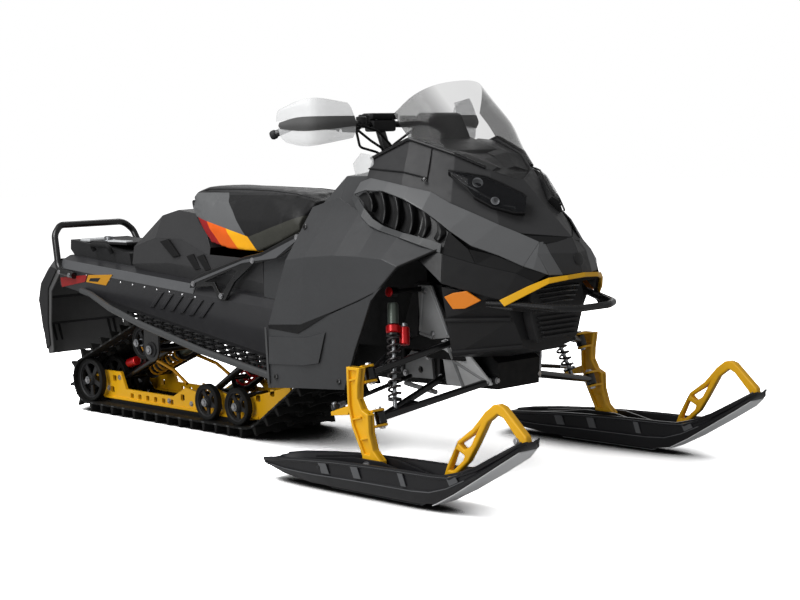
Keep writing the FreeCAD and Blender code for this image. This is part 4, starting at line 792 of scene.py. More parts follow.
def lug_shape(width, height, middle):
    """A scooped lug: thick at its ends, thinner between them."""
    rows = []
    for share in (0, 0.12, 0.3, 0.5, 0.7, 0.88, 1):
        y = middle + (share - 0.5) * width
        tall = height * (1.0 if share in (0, 1) else 0.97 if share in (0.12, 0.88) else 0.8)
        half = 8.5 if share in (0.12, 0.88, 0, 1) else 6.5
        rows.append(((-half, y, -1), (-half * 0.55, y, tall), (half * 0.55, y, tall), (half, y, -1)))
    return drawn(rows, UP, closed=True, edge=1.6, segments=1, angle=30)


class SNOWMOBILE_OT_track(bpy.types.Operator):
    """Rubber belt with its lugs, drive lugs and clips"""

    bl_idname = "snowmobile.track"
    bl_label = "Track"

    def execute(self, context):
        shape = context.scene.snowmobile_shape
        pieces = Pieces("track", "chassis", "track")
        pieces.add("rubber", belt_shape())
        for low, high, shift in ((-188, -76, 0.0), (-70, 70, 0.5), (76, 188, 0.0)):
            places = belt_spots(BELT_THICK, shape.pitches, shift)
            pieces.add("rubber", repeated(lug_shape(high - low, shape.lug_height, (low + high) / 2), places))
        places = belt_spots(0, shape.pitches, 0.25)
        for side in (-92, 92):
            pieces.add("rubber", repeated(block((0, side, -8), (22, 20, 16), 2, taper=1.4), places))
        for side in (-122, 122):
            pieces.add("brushed", repeated(block((0, side, 3.5), (24, 26, 9), 1.5), places))
        pieces.add("rubber", repeated(block((0, 0, 4), (9, 383, 10), 1.5), belt_spots(0, shape.pitches, 0.5)))
        ends = repeated(block((0, 0, 3.4), (16, 383.6, 5), 1), belt_spots(0, shape.pitches, 0.0))
        pieces.add("mid_grey", ends)
        pieces.make()
        return {"FINISHED"}


# Skid
RAIL_BOTTOM = 52
APPROACH_X = -195
FRONT_PIVOT, REAR_PIVOT = (-110, 345), (-689, 283)


def add_axle(pieces, x, z, radius, half, sides):
    pieces.add("black_steel", bar((x, -half, z), (x, half, z), 10))
    for end in (-1, 1):
        pieces.add("zinc", bolt((x, end * half, z), (0, end, 0), 10))
        pieces.add("brushed", lathe([(0, 0), (0, 15), (6, 15), (7, 12), (7, 0)],
                                    (x, end * (half - 5), z), (0, end, 0), 24))
        for side in sides:
            add_wheel(pieces, x, z, radius, side * end, end)


def add_wheel(pieces, x, z, radius, y, out):
    """A rubber tyre on a spoked web with a bearing hub."""
    start = (x, y, z)
    tyre = [(-13, radius - 13), (-13, radius - 3), (-10, radius), (10, radius), (13, radius - 3),
            (13, radius - 13), (-13, radius - 13)]
    pieces.add("rubber", lathe(tyre, start, (0, out, 0), 48))
    rim = [(-12, radius - 18), (-12, radius - 12), (12, radius - 12), (12, radius - 15), (9, radius - 18),
           (-12, radius - 18)]
    pieces.add("moulded_black", lathe(rim, start, (0, out, 0), 48))
    spokes = 5
    holes = []
    for number in range(spokes):
        middle = 2 * math.pi * (number + 0.25) / spokes
        low, high = 24, radius - 22
        corners = [(low, -0.3), (high, -0.46), (high + 2, -0.2), (high + 2, 0.2), (high, 0.46), (low, 0.3)]
        holes.append([(x + reach * math.cos(middle + turn), z + reach * math.sin(middle + turn))
                      for reach, turn in corners])
    web = slab(ring_points(x, z, radius - 16, 40), y - 4, y + 4, 1.2, holes)
    pieces.add("moulded_black", web)
    hub = [(-14, 10), (-14, 19), (-6, 22), (6, 22), (14, 18), (15, 14), (15, 10)]
    pieces.add("moulded_black", lathe(hub, start, (0, out, 0), 28))
    pieces.add("brushed", lathe([(12, 10), (16, 10), (16, 14), (12, 14)], start, (0, out, 0), 28))


class SNOWMOBILE_OT_wheels(bpy.types.Operator):
    """Wheels and axles inside the track"""

    bl_idname = "snowmobile.wheels"
    bl_label = "Skid wheels"

    def execute(self, context):
        for name, node, wheels, half, sides in (("rear_axle", "rear_axle", (REAR_WHEEL,), 182, (160, 48)),
                                                ("bogies", "bogie_wheels", BOGIES, 180, (160,)),
                                                ("upper_idlers", "upper_idlers", (UPPER_IDLER,), 200, (160,))):
            pieces = Pieces(name, "chassis", node)
            for wheel in wheels:
                add_axle(pieces, *wheel, half, sides)
            pieces.make()
        return {"FINISHED"}


RAIL_OUTLINE = ((-1188, 138), (-1188, 110), (-1136, 52), (-225, 52), (-155, 64), (17, 168), (11, 196),
                (-165, 150), (-255, 122), (-425, 120), (-495, 164), (-595, 138), (-675, 97), (-985, 97),
                (-1017, 163), (-1124, 163))


# Holes between the even row's, as distances back from the rails' front bend and up from their foot
RAIL_HOLES = ((300, 84), (330, 42), (250, 34), (865, 82), (882, 36), (190, 34), (130, 38), (60, 62), (-30, 86),
              (-110, 112), (420, 46))


def square_hole(x, z, half):
    """A square outline with cut corners."""
    near = half * 0.72
    return ((x - near, z - half), (x + near, z - half), (x + half, z - near), (x + half, z + near),
            (x + near, z + half), (x - near, z + half), (x - half, z + near), (x - half, z - near))


class SNOWMOBILE_OT_rails(bpy.types.Operator):
    """The two skid rails with their holes, stiffeners and bolts"""

    bl_idname = "snowmobile.rails"
    bl_label = "Skid rails"

    def execute(self, context):
        pieces = Pieces("rails", "chassis", "rails")
        holes = [square_hole(APPROACH_X - back, RAIL_BOTTOM + 22, 10) for back in range(490, 800, 52)]
        holes += [square_hole(APPROACH_X - back, RAIL_BOTTOM + up, 12) for back, up in RAIL_HOLES]
        pieces.both("yellow", slab(RAIL_OUTLINE, -128, -116, 1.2, holes))
        stiff = ((-1130, 53), (-226, 53), (-160, 66), (-164, 74), (-230, 62), (-1126, 62))
        pieces.both("yellow", slab(stiff, -134, -110, 1.5))
        pieces.bolts(-128, 8, (-495, 118), (-1025, 140), (-1100, 92), (-560, 80), (-60, 118), (-330, 90),
                     (-700, 78))
        pieces.make()
        repaint("slider_shoes", "deep_black")
        return {"FINISHED"}


def repaint(node, finish_name):
    """A carried-over CAD node in one of the procedural finishes."""
    item = bpy.data.objects.get(node) or next(thing for thing in bpy.data.objects
                                              if thing.name.startswith(node))
    item.data.materials.clear()
    item.data.materials.append(finish(finish_name))


class SNOWMOBILE_OT_skid_arms(bpy.types.Operator):
    """Arms, brackets and shocks between the rails and the tunnel"""

    bl_idname = "snowmobile.skid_arms"
    bl_label = "Skid arms and shocks"

    def execute(self, context):
        pieces = Pieces("skid_arms", "chassis", "skid_arms")
        for foot, top in (((-495, 118), FRONT_PIVOT), ((-1025, 140), REAR_PIVOT)):
            for (x, z), half, radius in ((foot, 116, 14), (top, 201, 16)):
                pieces.add("black_steel", bar((x, -half, z), (x, half, z), radius))
            for side in (-1, 1):
                pieces.add("black_steel", bar((foot[0], side * 84, foot[1]), (top[0], side * 104, top[1]), 13))
                pieces.add("zinc", bolt((foot[0], side * 116, foot[1]), (0, side, 0), 9))
            brace = [(foot[0] + 120, y, foot[1] + 70) for y in (-90, 90)]
            pieces.add("black_steel", tube(brace, 9))
        x, z = REAR_PIVOT
        eye = ring_points(x, z, 46, 13, math.pi)[1:7]
        hanger = ((x - 46, 409), (x - 46, z), *eye, (x + 46, z), (x + 46, 402))
        pieces.both("black_steel", slab(hanger, -209, -201, 1.5))
        boss = [(0, 0), (0, 30), (7, 30), (9, 27), (9, 20), (16, 18), (16, 0)]
        pieces.both("moulded_black", lathe(boss, (x, -205, z), RIGHT, 32))
        ring = [(8, 10), (17, 10), (18, 12), (18, 17), (16, 18), (8, 18)]
        pieces.both("brushed", lathe(ring, (x, -205, z), RIGHT, 32))
        pieces.bolts(-219, 9, REAR_PIVOT)
        pieces.both("gold", coil((-860, -118, 262), (-860, -70, 262), 30, 7, 4))
        pieces.both("gold", tube(((-860, -92, 232), (-700, -104, 196), (-610, -108, 150)), 7, 30, 12))
        pieces.make()
        shocks = Pieces("skid_shocks", "chassis", "skid_shocks")
        for low, pivot, wide, spring in (((-485, 0, 126), FRONT_PIVOT, 28, "red_metal"),
                                         ((-1023, 0, 140), REAR_PIVOT, 32, "gold")):
            low = Vector(low)
            along = Vector((pivot[0], 0, pivot[1])) - low
            shocks.add("shock_body", bar(low, low + along * 0.98, 12))
            shocks.add("shock_body", bar(low + along * 0.62, low + along * 0.95, 20, 2))
            shocks.add(spring, coil(low + along * 0.14, low + along * 0.74, wide - 5, 4.5, 7))
            for share in (0.12, 0.74):
                cup = [(0, 0), (0, wide), (5, wide), (6, wide - 2), (6, 0)]
                shocks.add("black_steel", lathe(cup, low + along * share, along, 28))
        reservoir = [(0, 0), (0, 15), (3, 18), (62, 18), (65, 15), (65, 0)]
        shocks.add("red_metal", lathe(reservoir, (-1000, -96, 196), (1, -0.1, 0.25), 28))
        shocks.make()
        return {"FINISHED"}


def add_deck(pieces):
    """The deck behind the seat, with its plates, knob, handle and ribs."""
    pieces.add("moulded_black", block((-1100, 0, 668), (280, 230, 12), 4))
    pieces.add("deck_light", block((-1240, -66, 676), (70, 110, 12), 4))
    pieces.add("deck_light", block((-1030, -96, 674), (130, 34, 10), 4))
    knob = [(0, 0), (0, 26), (6, 26), (8, 18), (18, 18), (20, 15), (20, 0)]
    pieces.add("brushed", lathe(knob, (-1140, -74, 672), UP, 32))
    pieces.add("soft_black", tube(((-1130, -150, 640), (-1130, -166, 664), (-1010, -166, 662),
                                   (-1010, -150, 632)), 9, 20, 14))
    for y in (-60, 0, 60):
        pieces.add("moulded_black", block((-990, y, 664), (150, 18, 14), 4))


class SNOWMOBILE_OT_tunnel(bpy.types.Operator):
    """Dressing of the tunnel: bevel strip, pressed ribs, stripes, rivets and the deck behind the seat"""

    bl_idname = "snowmobile.tunnel"
    bl_label = "Tunnel dressing"

    def execute(self, context):
        repaint("tunnel", "tunnel_paint")
        repaint("rear_deck", "moulded_black")
        pieces = Pieces("tunnel_dressing", "chassis")
        bevel = (bend_row(-1296, 2), bend_row(-420, 2))
        pieces.both("bevel_grey", drawn(bevel, (0, -1, 1), wall=2, edge=0.6))
        for x in (-690, -630, -570, -510, -450, -390):
            top, low = tunnel_top(x) - 52, tunnel_top(x) - 112
            rib = ((x + 66, top), (x + 92, top), (x + 26, low), (x, low))
            pieces.both("tunnel_paint", slab(rib, -211, -204, 3.4, segments=3))
        for number in range(12):
            x = -1270 + number * 78
            pieces.both("zinc", lathe([(0, 0), (0, 5), (1.5, 4), (2.4, 2), (2.6, 0)],
                                      (x, -205, tunnel_top(x) - 42), RIGHT, 14))
        red = ((-1296, 530), (-1104, 548), (-1120, 520), (-1288, 492))
        gold = ((-1096, 548), (-930, 556), (-976, 512), (-1112, 520))
        pieces.both("red_accent", slab(red, -207.5, -204.6, 0.6))
        pieces.both("gold", slab(gold, -207.5, -204.6, 0.6))
        pieces.both("black_steel", slab(((-1080, 536), (-1010, 540), (-1030, 524), (-1092, 524)), -208.4,
                                        -207, 0.4))
        add_deck(pieces)
        pieces.make()
        return {"FINISHED"}


def tunnel_top(x):
    """Height of the tunnel's upper bend."""
    return 600 - (x + 1300) * 115 / 1592


def bend_row(x, proud):
    """The tunnel's right bevel at a place along it, from its side to its top."""
    z = tunnel_top(x)
    return ((x, -205 - proud, z - 31), (x, -205 - proud, z - 29), (x, -191 - proud, z + 1), (x, -190, z + 3))


def board_top(x):
    """Height of the running boards' top face."""
    return 314 - math.tan(math.radians(8.36)) * x


BOARD_OUTER = ((-1060, -221), (-822, -300), (-559, -350), (-141, -395), (300, -400))


def board_reach(x):
    """How far out the board goes at a place along it."""
    return -reading(BOARD_OUTER, x, -395 if x > 300 else -205)


class SNOWMOBILE_OT_boards(bpy.types.Operator):
    """Perforated running boards with their edge rails"""

    bl_idname = "snowmobile.boards"
    bl_label = "Running boards"

    def execute(self, context):
        pieces = Pieces("boards", "chassis", "running_boards")
        outline = [(-1074, -205), *BOARD_OUTER, (300, -205)]
        holes = []
        for column in range(17):
            x = -760 + column * 60
            for row in range(4):
                y = -232 - row * 40
                if -y + 22 < board_reach(x) - 14 and -y + 22 < board_reach(x + 44) - 14:
                    holes.append(((x, y), (x + 40, y), (x + 40, y - 24), (x, y - 24)))
        sheet = slab(outline, -6, 0, 0, holes, plane="XY")
        lean = Matrix.Translation((0, 0, 314)) @ tilt(8.36, "Y")
        bmesh.ops.transform(sheet, matrix=lean, verts=sheet.verts[:])
        pieces.both("black_steel", sheet)
        for column in range(34):
            x = -750 + column * 30
            for row in range(4):
                y = -232 - row * 40 - 32
                if -y + 6 < board_reach(x) - 12:
                    tooth = block((x, y, board_top(x) + 4), (12, 5, 9), 1, taper=0.6)
                    pieces.both("black_steel", tooth)
        edge = [(-1130, -217), (-1060, -223), (-814, -300), (-553, -350), (-140, -395), (300, -400)]
        rail = tube([(x, y, board_top(x) + 6) for x, y in edge], 12, 120, 18)
        pieces.both("mid_grey", rail)
        pieces.make()
        return {"FINISHED"}


class SNOWMOBILE_OT_tail(bpy.types.Operator):
    """Snow flap, rear bumper and tail lamp"""

    bl_idname = "snowmobile.tail"
    bl_label = "Tail"

    def execute(self, context):
        flap = Pieces("snow_flap", "chassis", "snow_flap")
        line = ((-1302, 606), (-1352, 600), (-1405, 560), (-1466, 498), (-1486, 432), (-1466, 320),
                (-1424, 212))
        rows = [[(x, y, z) for x, z in line] for y in (-195, -150, -60, 60, 150, 195)]
        # The flap and its ribs in pale grey, though black: painted light on a flap that lies in shade.
        flap.add("worn_grey", drawn(rows, (-1, 0, 0.2), wall=5, edge=2, angle=20))
        rib = ((-1302, 596), (-1302, 560), (-1385, 470), (-1398, 340), (-1388, 225), (-1424, 212),
               (-1484, 430), (-1460, 500), (-1352, 596))
        flap.both("worn_grey", slab(rib, -197, -190, 2))
        inner = ((-1330, 560), (-1400, 480), (-1412, 340), (-1402, 250), (-1428, 232), (-1470, 430),
                 (-1446, 500), (-1376, 570))
        flap.both("moulded_black", slab(inner, -204, -197, 2))
        for z, tall in ((438, 16), (330, 9)):
            x = -1486 if z > 400 else -1468
            flap.add("moulded_black", block((x + 4, 0, z), (8, 380, tall), 2))
        for side in (-1, 1):
            for shift in (0, 26):
                flap.add("deep_black", block((-1446, side * (120 + shift), 280), (4, 12, 96), 2,
                                             tilt(-18, "Y")))
        flap.make()
        bumper = Pieces("rear_bumper", "chassis", "rear_bumper", "tail_lamp")
        half = ((-1180, -217, 543), (-1288, -217, 557), (-1352, -190, 700), (-1366, -154, 736))
        bumper.add("black_steel", tube(across(half), 13.5, 60, 20))
        bumper.bolts(-229, 7, (-1200, 545), (-1270, 555))
        bumper.add("lamp_red", slab(((-1316, 641), (-1312, 676), (-1330, 672), (-1334, 643)), -118, 118, 2))
        bumper.make()
        return {"FINISHED"}


# Seat, storage pod, console and braces
CLOTH_FRAMES = 20
VOXEL, QUICK_VOXEL = 0.006, 0.009
MOST_PUFF = 0.007
SEAT_FRONT = 0.151

SEAT_SEAM = ((-470, -124, 870), (-400, -130, 882), (-230, -114, 881), (-60, -114, 876), (60, -112, 866),
             (146, -106, 850))


def seat_ring(x, low, high, top_half, base_half):
    """The seat's outline across it: crowned top, rolled edges and sides that pull in."""
    waist = (low + high) / 2
    right = ((x, -base_half, low), (x, -base_half - 1, low + (waist - low) * 0.5), (x, -base_half + 16, waist),
             (x, -top_half - 16, high - 22), (x, -top_half + 2, high - 5), (x, -top_half * 0.55, high + 1))
    return across((*right, (x, 0, high + 3)))


def puff_up(context, seat):
    """The cover blown out by cloth pressure from a voxel copy, held near its shape."""
    modifier = seat.modifiers.new("Remesh", "REMESH")
    modifier.mode = "VOXEL"
    modifier.voxel_size = VOXEL
    apply_modifiers(context, seat)
    start = [vert.co.copy() for vert in seat.data.vertices]
    cloth = seat.modifiers.new("Cloth", "CLOTH")
    cloth.settings.use_pressure = True
    cloth.settings.uniform_pressure_force = 4
    cloth.settings.effector_weights.gravity = 0
    cloth.settings.quality = 4
    cloth.point_cache.frame_start, cloth.point_cache.frame_end = 1, CLOTH_FRAMES
    for number in range(1, CLOTH_FRAMES + 1):
        context.scene.frame_set(number)
    apply_modifiers(context, seat)
    context.scene.frame_set(1)
    for vert, before in zip(seat.data.vertices, start):
        step = vert.co - before
        if step.length > MOST_PUFF:
            vert.co = before + step.normalized() * MOST_PUFF
    smooth = seat.modifiers.new("Smooth", "SMOOTH")
    smooth.iterations = 3
    smooth.factor = 0.5
    apply_modifiers(context, seat)
    for vert in seat.data.vertices:
        vert.co.x = min(vert.co.x, SEAT_FRONT)
        vert.co.z = max(vert.co.z, seat_floor(vert.co.x / MM) * MM)


def seat_floor(x):
    """Height of what carries the seat."""
    spots = ((-600, 875), (-484, 860), (-436, 789), (-349, 672), (-55, 662), (152, 743), (300, 800))
    return reading(spots, x, 659) + 1


def apply_modifiers(context, item):
    """The item's mesh with its modifiers in it."""
    graph = context.evaluated_depsgraph_get()
    graph.update()
    mesh = bpy.data.meshes.new_from_object(item.evaluated_get(graph))
    item.modifiers.clear()
    item.data = mesh


class SNOWMOBILE_OT_seat(bpy.types.Operator):
    """Padded seat: black top and sides, grey wedge, coloured patch and sewn edges"""

    bl_idname = "snowmobile.seat"
    bl_label = "Seat"

    def execute(self, context):
        rings = [seat_ring(*facts) for facts in (
            (-478, 800, 880, 136, 160), (-460, 784, 885, 138, 170), (-400, 742, 883, 132, 180),
            (-340, 690, 881, 122, 186), (-230, 668, 879, 112, 188), (-60, 664, 874, 112, 188),
            (60, 706, 864, 110, 186), (150, 746, 848, 104, 178))]
        pad = drawn(rings, UP, closed=True)
        bmesh.ops.recalc_face_normals(pad, faces=pad.faces[:])
        bmesh.ops.scale(pad, vec=(MM, MM, MM), verts=pad.verts[:])
        pad.normal_update()
        seat = as_object("seat_pad", pad)
        puff_up(context, seat)
        seat.data.materials.append(finish("seat_vinyl"))
        for face in seat.data.polygons:
            face.use_smooth = True
        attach(seat, "chassis")
        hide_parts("seat")
        seams = Pieces("seat_seams", "chassis")
        seams.both("soft_black", tube(SEAT_SEAM, 1.6, 12, 8))
        for item in seams.make():
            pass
        return {"FINISHED"}


def add_braces():
    """Forged side braces with raised rims and bolts."""
    pieces = Pieces("braces", "chassis", "side_braces")
    outline = ((-429, 528), (-415, 556), (-367, 580), (-106, 652), (-12, 669), (191, 744), (205, 715),
               (72, 652), (-60, 628), (-167, 560), (-222, 492), (-262, 492), (-292, 540))
    windows = (((-330, 556), (-282, 556), (-254, 520), (-236, 520), (-190, 566), (-150, 600), (-180, 604)),)
    pieces.both("black_steel", slab(outline, -217, -206, 3, windows, 3))
    rib = ((-400, 556), (-360, 568), (-110, 640), (-14, 656), (180, 726), (184, 718), (66, 652), (-66, 636),
           (-120, 628), (-360, 558), (-398, 546))
    pieces.both("bevel_grey", slab(rib, -219.5, -216, 1.4))
    pieces.bolts(-219, 8, (-402, 545), (-242, 508), (180, 726), (-60, 640))
    pieces.make()


class SNOWMOBILE_OT_mid_body(bpy.types.Operator):
    """Storage pod, console and side braces"""

    bl_idname = "snowmobile.mid_body"
    bl_label = "Pod, console and braces"

    def execute(self, context):
        pod = Pieces("pod", "chassis", "storage_pod")
        keel = ((-842, -150, 566), (-600, -160, 549), (-400, -164, 535), (-200, -166, 520), (-42, -168, 509))
        waist = ((-838, -176, 600), (-600, -184, 612), (-400, -186, 600), (-200, -186, 580), (-42, -186, 560))
        ledge = ((-834, -168, 664), (-690, -172, 700), (-520, -176, 700), (-360, -184, 650), (-44, -186, 640))
        crest = ((-826, -140, 690), (-684, -138, 784), (-590, -134, 805), (-440, -140, 790), (-350, -176, 674))
        crown = ((-820, 0, 694), (-684, 0, 788), (-590, 0, 808), (-436, 0, 790), (-349, 0, 672))
        pod.both("pod_grey", drawn((keel, waist, ledge), (0, -1, 0.1), wall=4, edge=3, angle=10))
        upper = drawn((ledge[:4] + ((-344, -184, 648),), crest, crown), (0, -0.6, 1), wall=4, edge=3, angle=10)
        pod.both("pod_grey", upper)
        back = ((-842, -150, 566), (-838, -176, 600), (-834, -168, 664), (-826, -140, 690), (-820, 0, 694))
        pod.both("pod_grey", drawn((back, ((-842, 0, 566), (-838, 0, 600), (-834, 0, 664), (-826, 0, 690),
                                           (-820.5, 0, 693))), (-1, 0, 0), wall=3, edge=1))
        vent = ((-640, 690), (-590, 700), (-520, 640), (-560, 632))
        pod.both("deep_black", slab(vent, -190, -178, 3))
        for shift in (0, 62):
            corners = ((-480 + shift, 640), (-440 + shift, 650), (-396 + shift, 596), (-430 + shift, 590))
            pod.both("deep_black", slab(corners, -189, -180, 3))
        pod.make()
        console = Pieces("console", "chassis", "console")
        low = ((-42, -186, 512), (120, -186, 498), (292, -186, 500), (300, -186, 690), (556, -186, 762))
        middle = ((-40, -186, 600), (100, -186, 640), (220, -188, 690), (330, -188, 760), (556, -184, 800))
        high = ((-50, -176, 660), (60, -170, 702), (150, -160, 744), (330, -150, 850), (556, -140, 860))
        shoulder = ((-46, -120, 662), (64, -118, 706), (152, -112, 800), (318, -110, 926), (556, -104, 926))
        top = ((-44, 0, 662), (66, 0, 706), (152, 0, 848), (322, 0, 938), (556, 0, 934))
        console.both("panel_grey", drawn((low, middle, high, shoulder, top), (0, -0.7, 0.7), wall=4, edge=3,
                                         angle=10))
        cap = [(0, 0), (0, 44), (8, 44), (16, 38), (18, 20), (18, 0)]
        console.add("moulded_black", lathe(cap, (226, 0, 892), (-0.5, 0, 1), 36))
        console.make()
        add_braces()
        return {"FINISHED"}


# Body panels, rear to front along each row
SIDE_TOP = ((324, -270, 831), (448, -266, 863), (584, -302, 819), (671, -322, 771), (791, -334, 753),
            (941, -324, 712))
SIDE_WAIST = ((333, -400, 667), (440, -415, 680), (584, -415, 690), (690, -412, 690), (790, -410, 685),
              (860, -412, 664))
SIDE_CREASE = ((273, -430, 457), (443, -440, 469), (600, -438, 520), (700, -434, 556), (781, -430, 588),
               (800, -428, 600))
SIDE_FOOT = ((250, -420, 249), (400, -424, 262), (560, -424, 272), (624, -420, 276), (686, -428, 406),
             (767, -430, 563))


class SNOWMOBILE_OT_side_panels(bpy.types.Operator):
    """Side panels with their inset, edge trim and fasteners"""

    bl_idname = "snowmobile.side_panels"
    bl_label = "Side panels"

    def execute(self, context):
        pieces = Pieces("side_panels", "chassis", "side_panels")
        out = (0, -1, 0.1)
        pieces.both("panel_grey", panel((SIDE_TOP, SIDE_WAIST, SIDE_CREASE), out))
        gap = [(x, y, z - 4) for x, y, z in SIDE_CREASE]
        pieces.both("panel_grey", panel((gap, SIDE_FOOT), out))
        wedge = (((275, -432, 458), (443, -442, 469), (600, -440, 519)),
                 ((276, -431, 446), (430, -441, 440), (480, -441, 462)))
        pieces.both("deep_black", drawn(wedge, out, wall=3, edge=0.8))
        trim = (((258, -434, 449), (256, -426, 262)), ((270, -436, 449), (268, -428, 266)))
        pieces.both("mid_grey", drawn(trim, RIGHT, wall=3, edge=0.8))
        inset = (((278, -434, 420), (470, -441, 430), (560, -440, 452)),
                 ((270, -430, 330), (450, -436, 340), (520, -436, 352)))
        pieces.both("panel_grey", drawn(inset, out, wall=3, edge=1.4))
        arch = [(x, y - 1, z) for x, y, z in ((941, -324, 712), (860, -412, 664), (800, -428, 600),
                                              (767, -430, 563), (686, -428, 406), (624, -420, 276))]
        pieces.both("deep_black", tube(arch, 3.2, 16, 8))
        for x, y, z in ((352, -330, 770), (606, -424, 560), (300, -428, 290), (600, -426, 300)):
            stud = [(0, 0), (0, 9), (2, 9), (3.4, 6), (3.4, 3), (2, 2.4), (2, 0)]
            pieces.both("black_steel", lathe(stud, (x, y, z), (0, -1, 0.2), 24))
        pieces.make()
        return {"FINISHED"}


SCREEN_BASE = ((538, -200, 979), (712, -200, 1039), (861, -155, 989), (951, -97, 941), (1000, 0, 911))
SHOULDER = ((560, -255, 905), (725, -260, 886), (903, -225, 825), (1050, -165, 759))
HOOD_SEAM = ((547, -223, 948), (721, -243, 930), (886, -197, 891), (1000, -131, 850), (1094, 0, 824))
BAND_TOP = ((548, -262, 912), (586, -253, 924), (672, -258, 912), (759, -258, 897), (838, -240, 881),
            (903, -229, 848), (968, -202, 819), (1046, -168, 782), (1100, -130, 754), (1146, -98, 728))
BAND_FOOT = ((536, -283, 874), (585, -281, 886), (672, -284, 884), (770, -291, 860), (850, -292, 828),
             (893, -279, 799), (942, -274, 768), (1010, -250, 722), (1080, -204, 692), (1144, -169, 660))


def add_nose():
    """The nose: centre, corners, cheeks, a bare round shield and the yellow strip under them."""
    nose = Pieces("nose", "chassis", "nose", "nose_strip")
    line = ((1146, -76, 728), (1174, -82, 694), (1209, -66, 630))
    rows = [across((side, centre))
            for side, centre in zip(line, ((1189, 0, 738), (1213, 0, 690), (1227, 0, 632)))]
    nose.add("cowl_grey", panel(rows, (1, 0, 0.2), 6))
    corner = ((1146, -98, 728), (1160, -124, 694), (1194, -112, 632))
    nose.both("band_grey", panel(list(zip(corner, line)), (1, -0.6, 0.2), 6))
    cheek = ((1144, -169, 660), (1162, -148, 650), (1192, -118, 634))
    nose.both("band_grey", drawn((((1146, -98, 728), (1160, -124, 694), (1192, -114, 634)), cheek),
                                 (0.6, -1, 0.2), wall=PANEL_WALL, edge=0.5, angle=6))
    shield = [(0, 0), (0, 21), (3, 21), (5, 18), (5, 0)]
    nose.add("gloss_black", lathe(shield, (1212, 0, 672), (1, 0, 0.2), 40))
    upper = ((1236, 0, 634), (1228, -70, 630), (1200, -122, 625), (1160, -170, 602), (1096, -226, 562))
    lower = ((1240, 0, 621), (1232, -70, 617), (1204, -126, 608), (1160, -178, 576), (1112, -222, 544))
    nose.add("yellow", drawn((across(upper[::-1]), across(lower[::-1])), (1, 0, 0.1), wall=7, edge=1.5,
                             angle=10))
    nose.make()


def add_headlights():
    """Headlights on both sides: lens, dark back, rims, bowls and a light strip."""
    lamps = Pieces("headlights", "chassis", "headlights")
    upper = ((866, -191, 944), (920, -168, 934), (965, -127, 922), (1008, -96, 898), (1055, -66, 870),
             (1066, -62, 860))
    lower = ((884, -196, 926), (938, -186, 889), (964, -184, 864), (1014, -159, 833), (1062, -116, 814),
             (1084, -90, 812))
    middle = tuple((x + 6, y - 5, z + 7) for x, y, z in between(upper, lower, 0.5))
    out = (0.6, -0.5, 0.6)
    lamps.both("lens_clear", drawn((upper, middle, lower), out, wall=2, edge=1, angle=6))
    back = [tuple((x - 4, y + 3, z - 4) for x, y, z in row) for row in (upper, middle, lower)]
    lamps.both("lamp_black", drawn(back, out, wall=26))
    for row in (upper, lower):
        lamps.both("deep_black", tube(row, 3, 14, 8))
    cup = [(0, 0), (0, 9), (2, 15), (5, 17), (5, 15), (3, 11), (2, 0)]
    for at, size in (((954, -158, 903), 1), ((1012, -145, 848), 0.8)):
        bowl = lathe([(along, radius * size) for along, radius in cup], at, (0.7, -0.5, 0.5), 28)
        lamps.both("brushed", bowl)
    strip = tube(((902, -190, 914), (960, -172, 882), (1020, -134, 838), (1058, -104, 828)), 3.4, 20, 10)
    lamps.both("mid_grey", strip)
    lamps.make()


class SNOWMOBILE_OT_hood(bpy.types.Operator):
    """Hood, light bands, headlights and nose"""

    bl_idname = "snowmobile.hood"
    bl_label = "Hood and nose"

    def execute(self, context):
        hood = Pieces("hood", "chassis", "hood")
        foot = (*SHOULDER, (1189, 0, 738))
        hood.add("cowl_grey", panel((across(SCREEN_BASE), across(HOOD_SEAM), across(foot)), (0.3, 0, 1)))
        # The lip over the nose in deep black: partly its own black lower surface, partly painted shadow where
        # it overhangs the nose.
        lip = (((1050, -166, 757), (1110, -100, 746), (1189, 0, 736)), ((1096, -132, 740), (1146, -92, 722),
                                                                        (1192, 0, 728)))
        hood.both("deep_black", drawn(lip, (0.5, 0, 1), wall=4))
        line = ((546, -222, 952), (720, -241, 941), (801, -218, 921))
        hood.both("deep_black", tube(line, 2.6, 10, 8))
        fold = ((786, -178, 1015), (801, -218, 921), (803, -222, 911))
        hood.both("deep_black", tube(fold, 1.8, 10, 8))
        for side in (-1, 1):
            hood.add("black_steel", lathe([(0, 0), (0, 7), (2, 7), (3, 4), (3, 0)], (800, side * 233, 917),
                                          (0.2, side, 0.5), 18))
        hood.make()
        bands = Pieces("hood_bands", "chassis", "hood_bands")
        bands.both("band_grey", panel((BAND_TOP, BAND_FOOT), (0, -1, 0.5)))
        bands.make()
        add_nose()
        add_headlights()
        return {"FINISHED"}


def add_duct():
    """Black inner duct behind the bands and vents, which closes the view between the panels."""
    duct = Pieces("inner_duct", "chassis")
    rows = (((535, -150, 872), (740, -150, 860), (900, -130, 808), (1036, -80, 750), (1116, -30, 714)),
            ((535, -232, 872), (740, -230, 862), (900, -198, 803), (1036, -142, 743), (1126, -78, 708)),
            ((535, -238, 842), (755, -246, 846), (885, -226, 792), (1000, -190, 734), (1116, -110, 668)),
            ((540, -240, 812), (770, -250, 812), (888, -246, 756), (1000, -216, 684), (1112, -136, 626)),
            ((548, -236, 776), (770, -242, 736), (880, -250, 686), (1000, -216, 636), (1100, -140, 596)))
    duct.both("deep_black", drawn(rows, (0.2, -1, 0.4), wall=4))
    duct.add("deep_black", block((1158, 0, 618), (60, 220, 30), 2))
    duct.make()


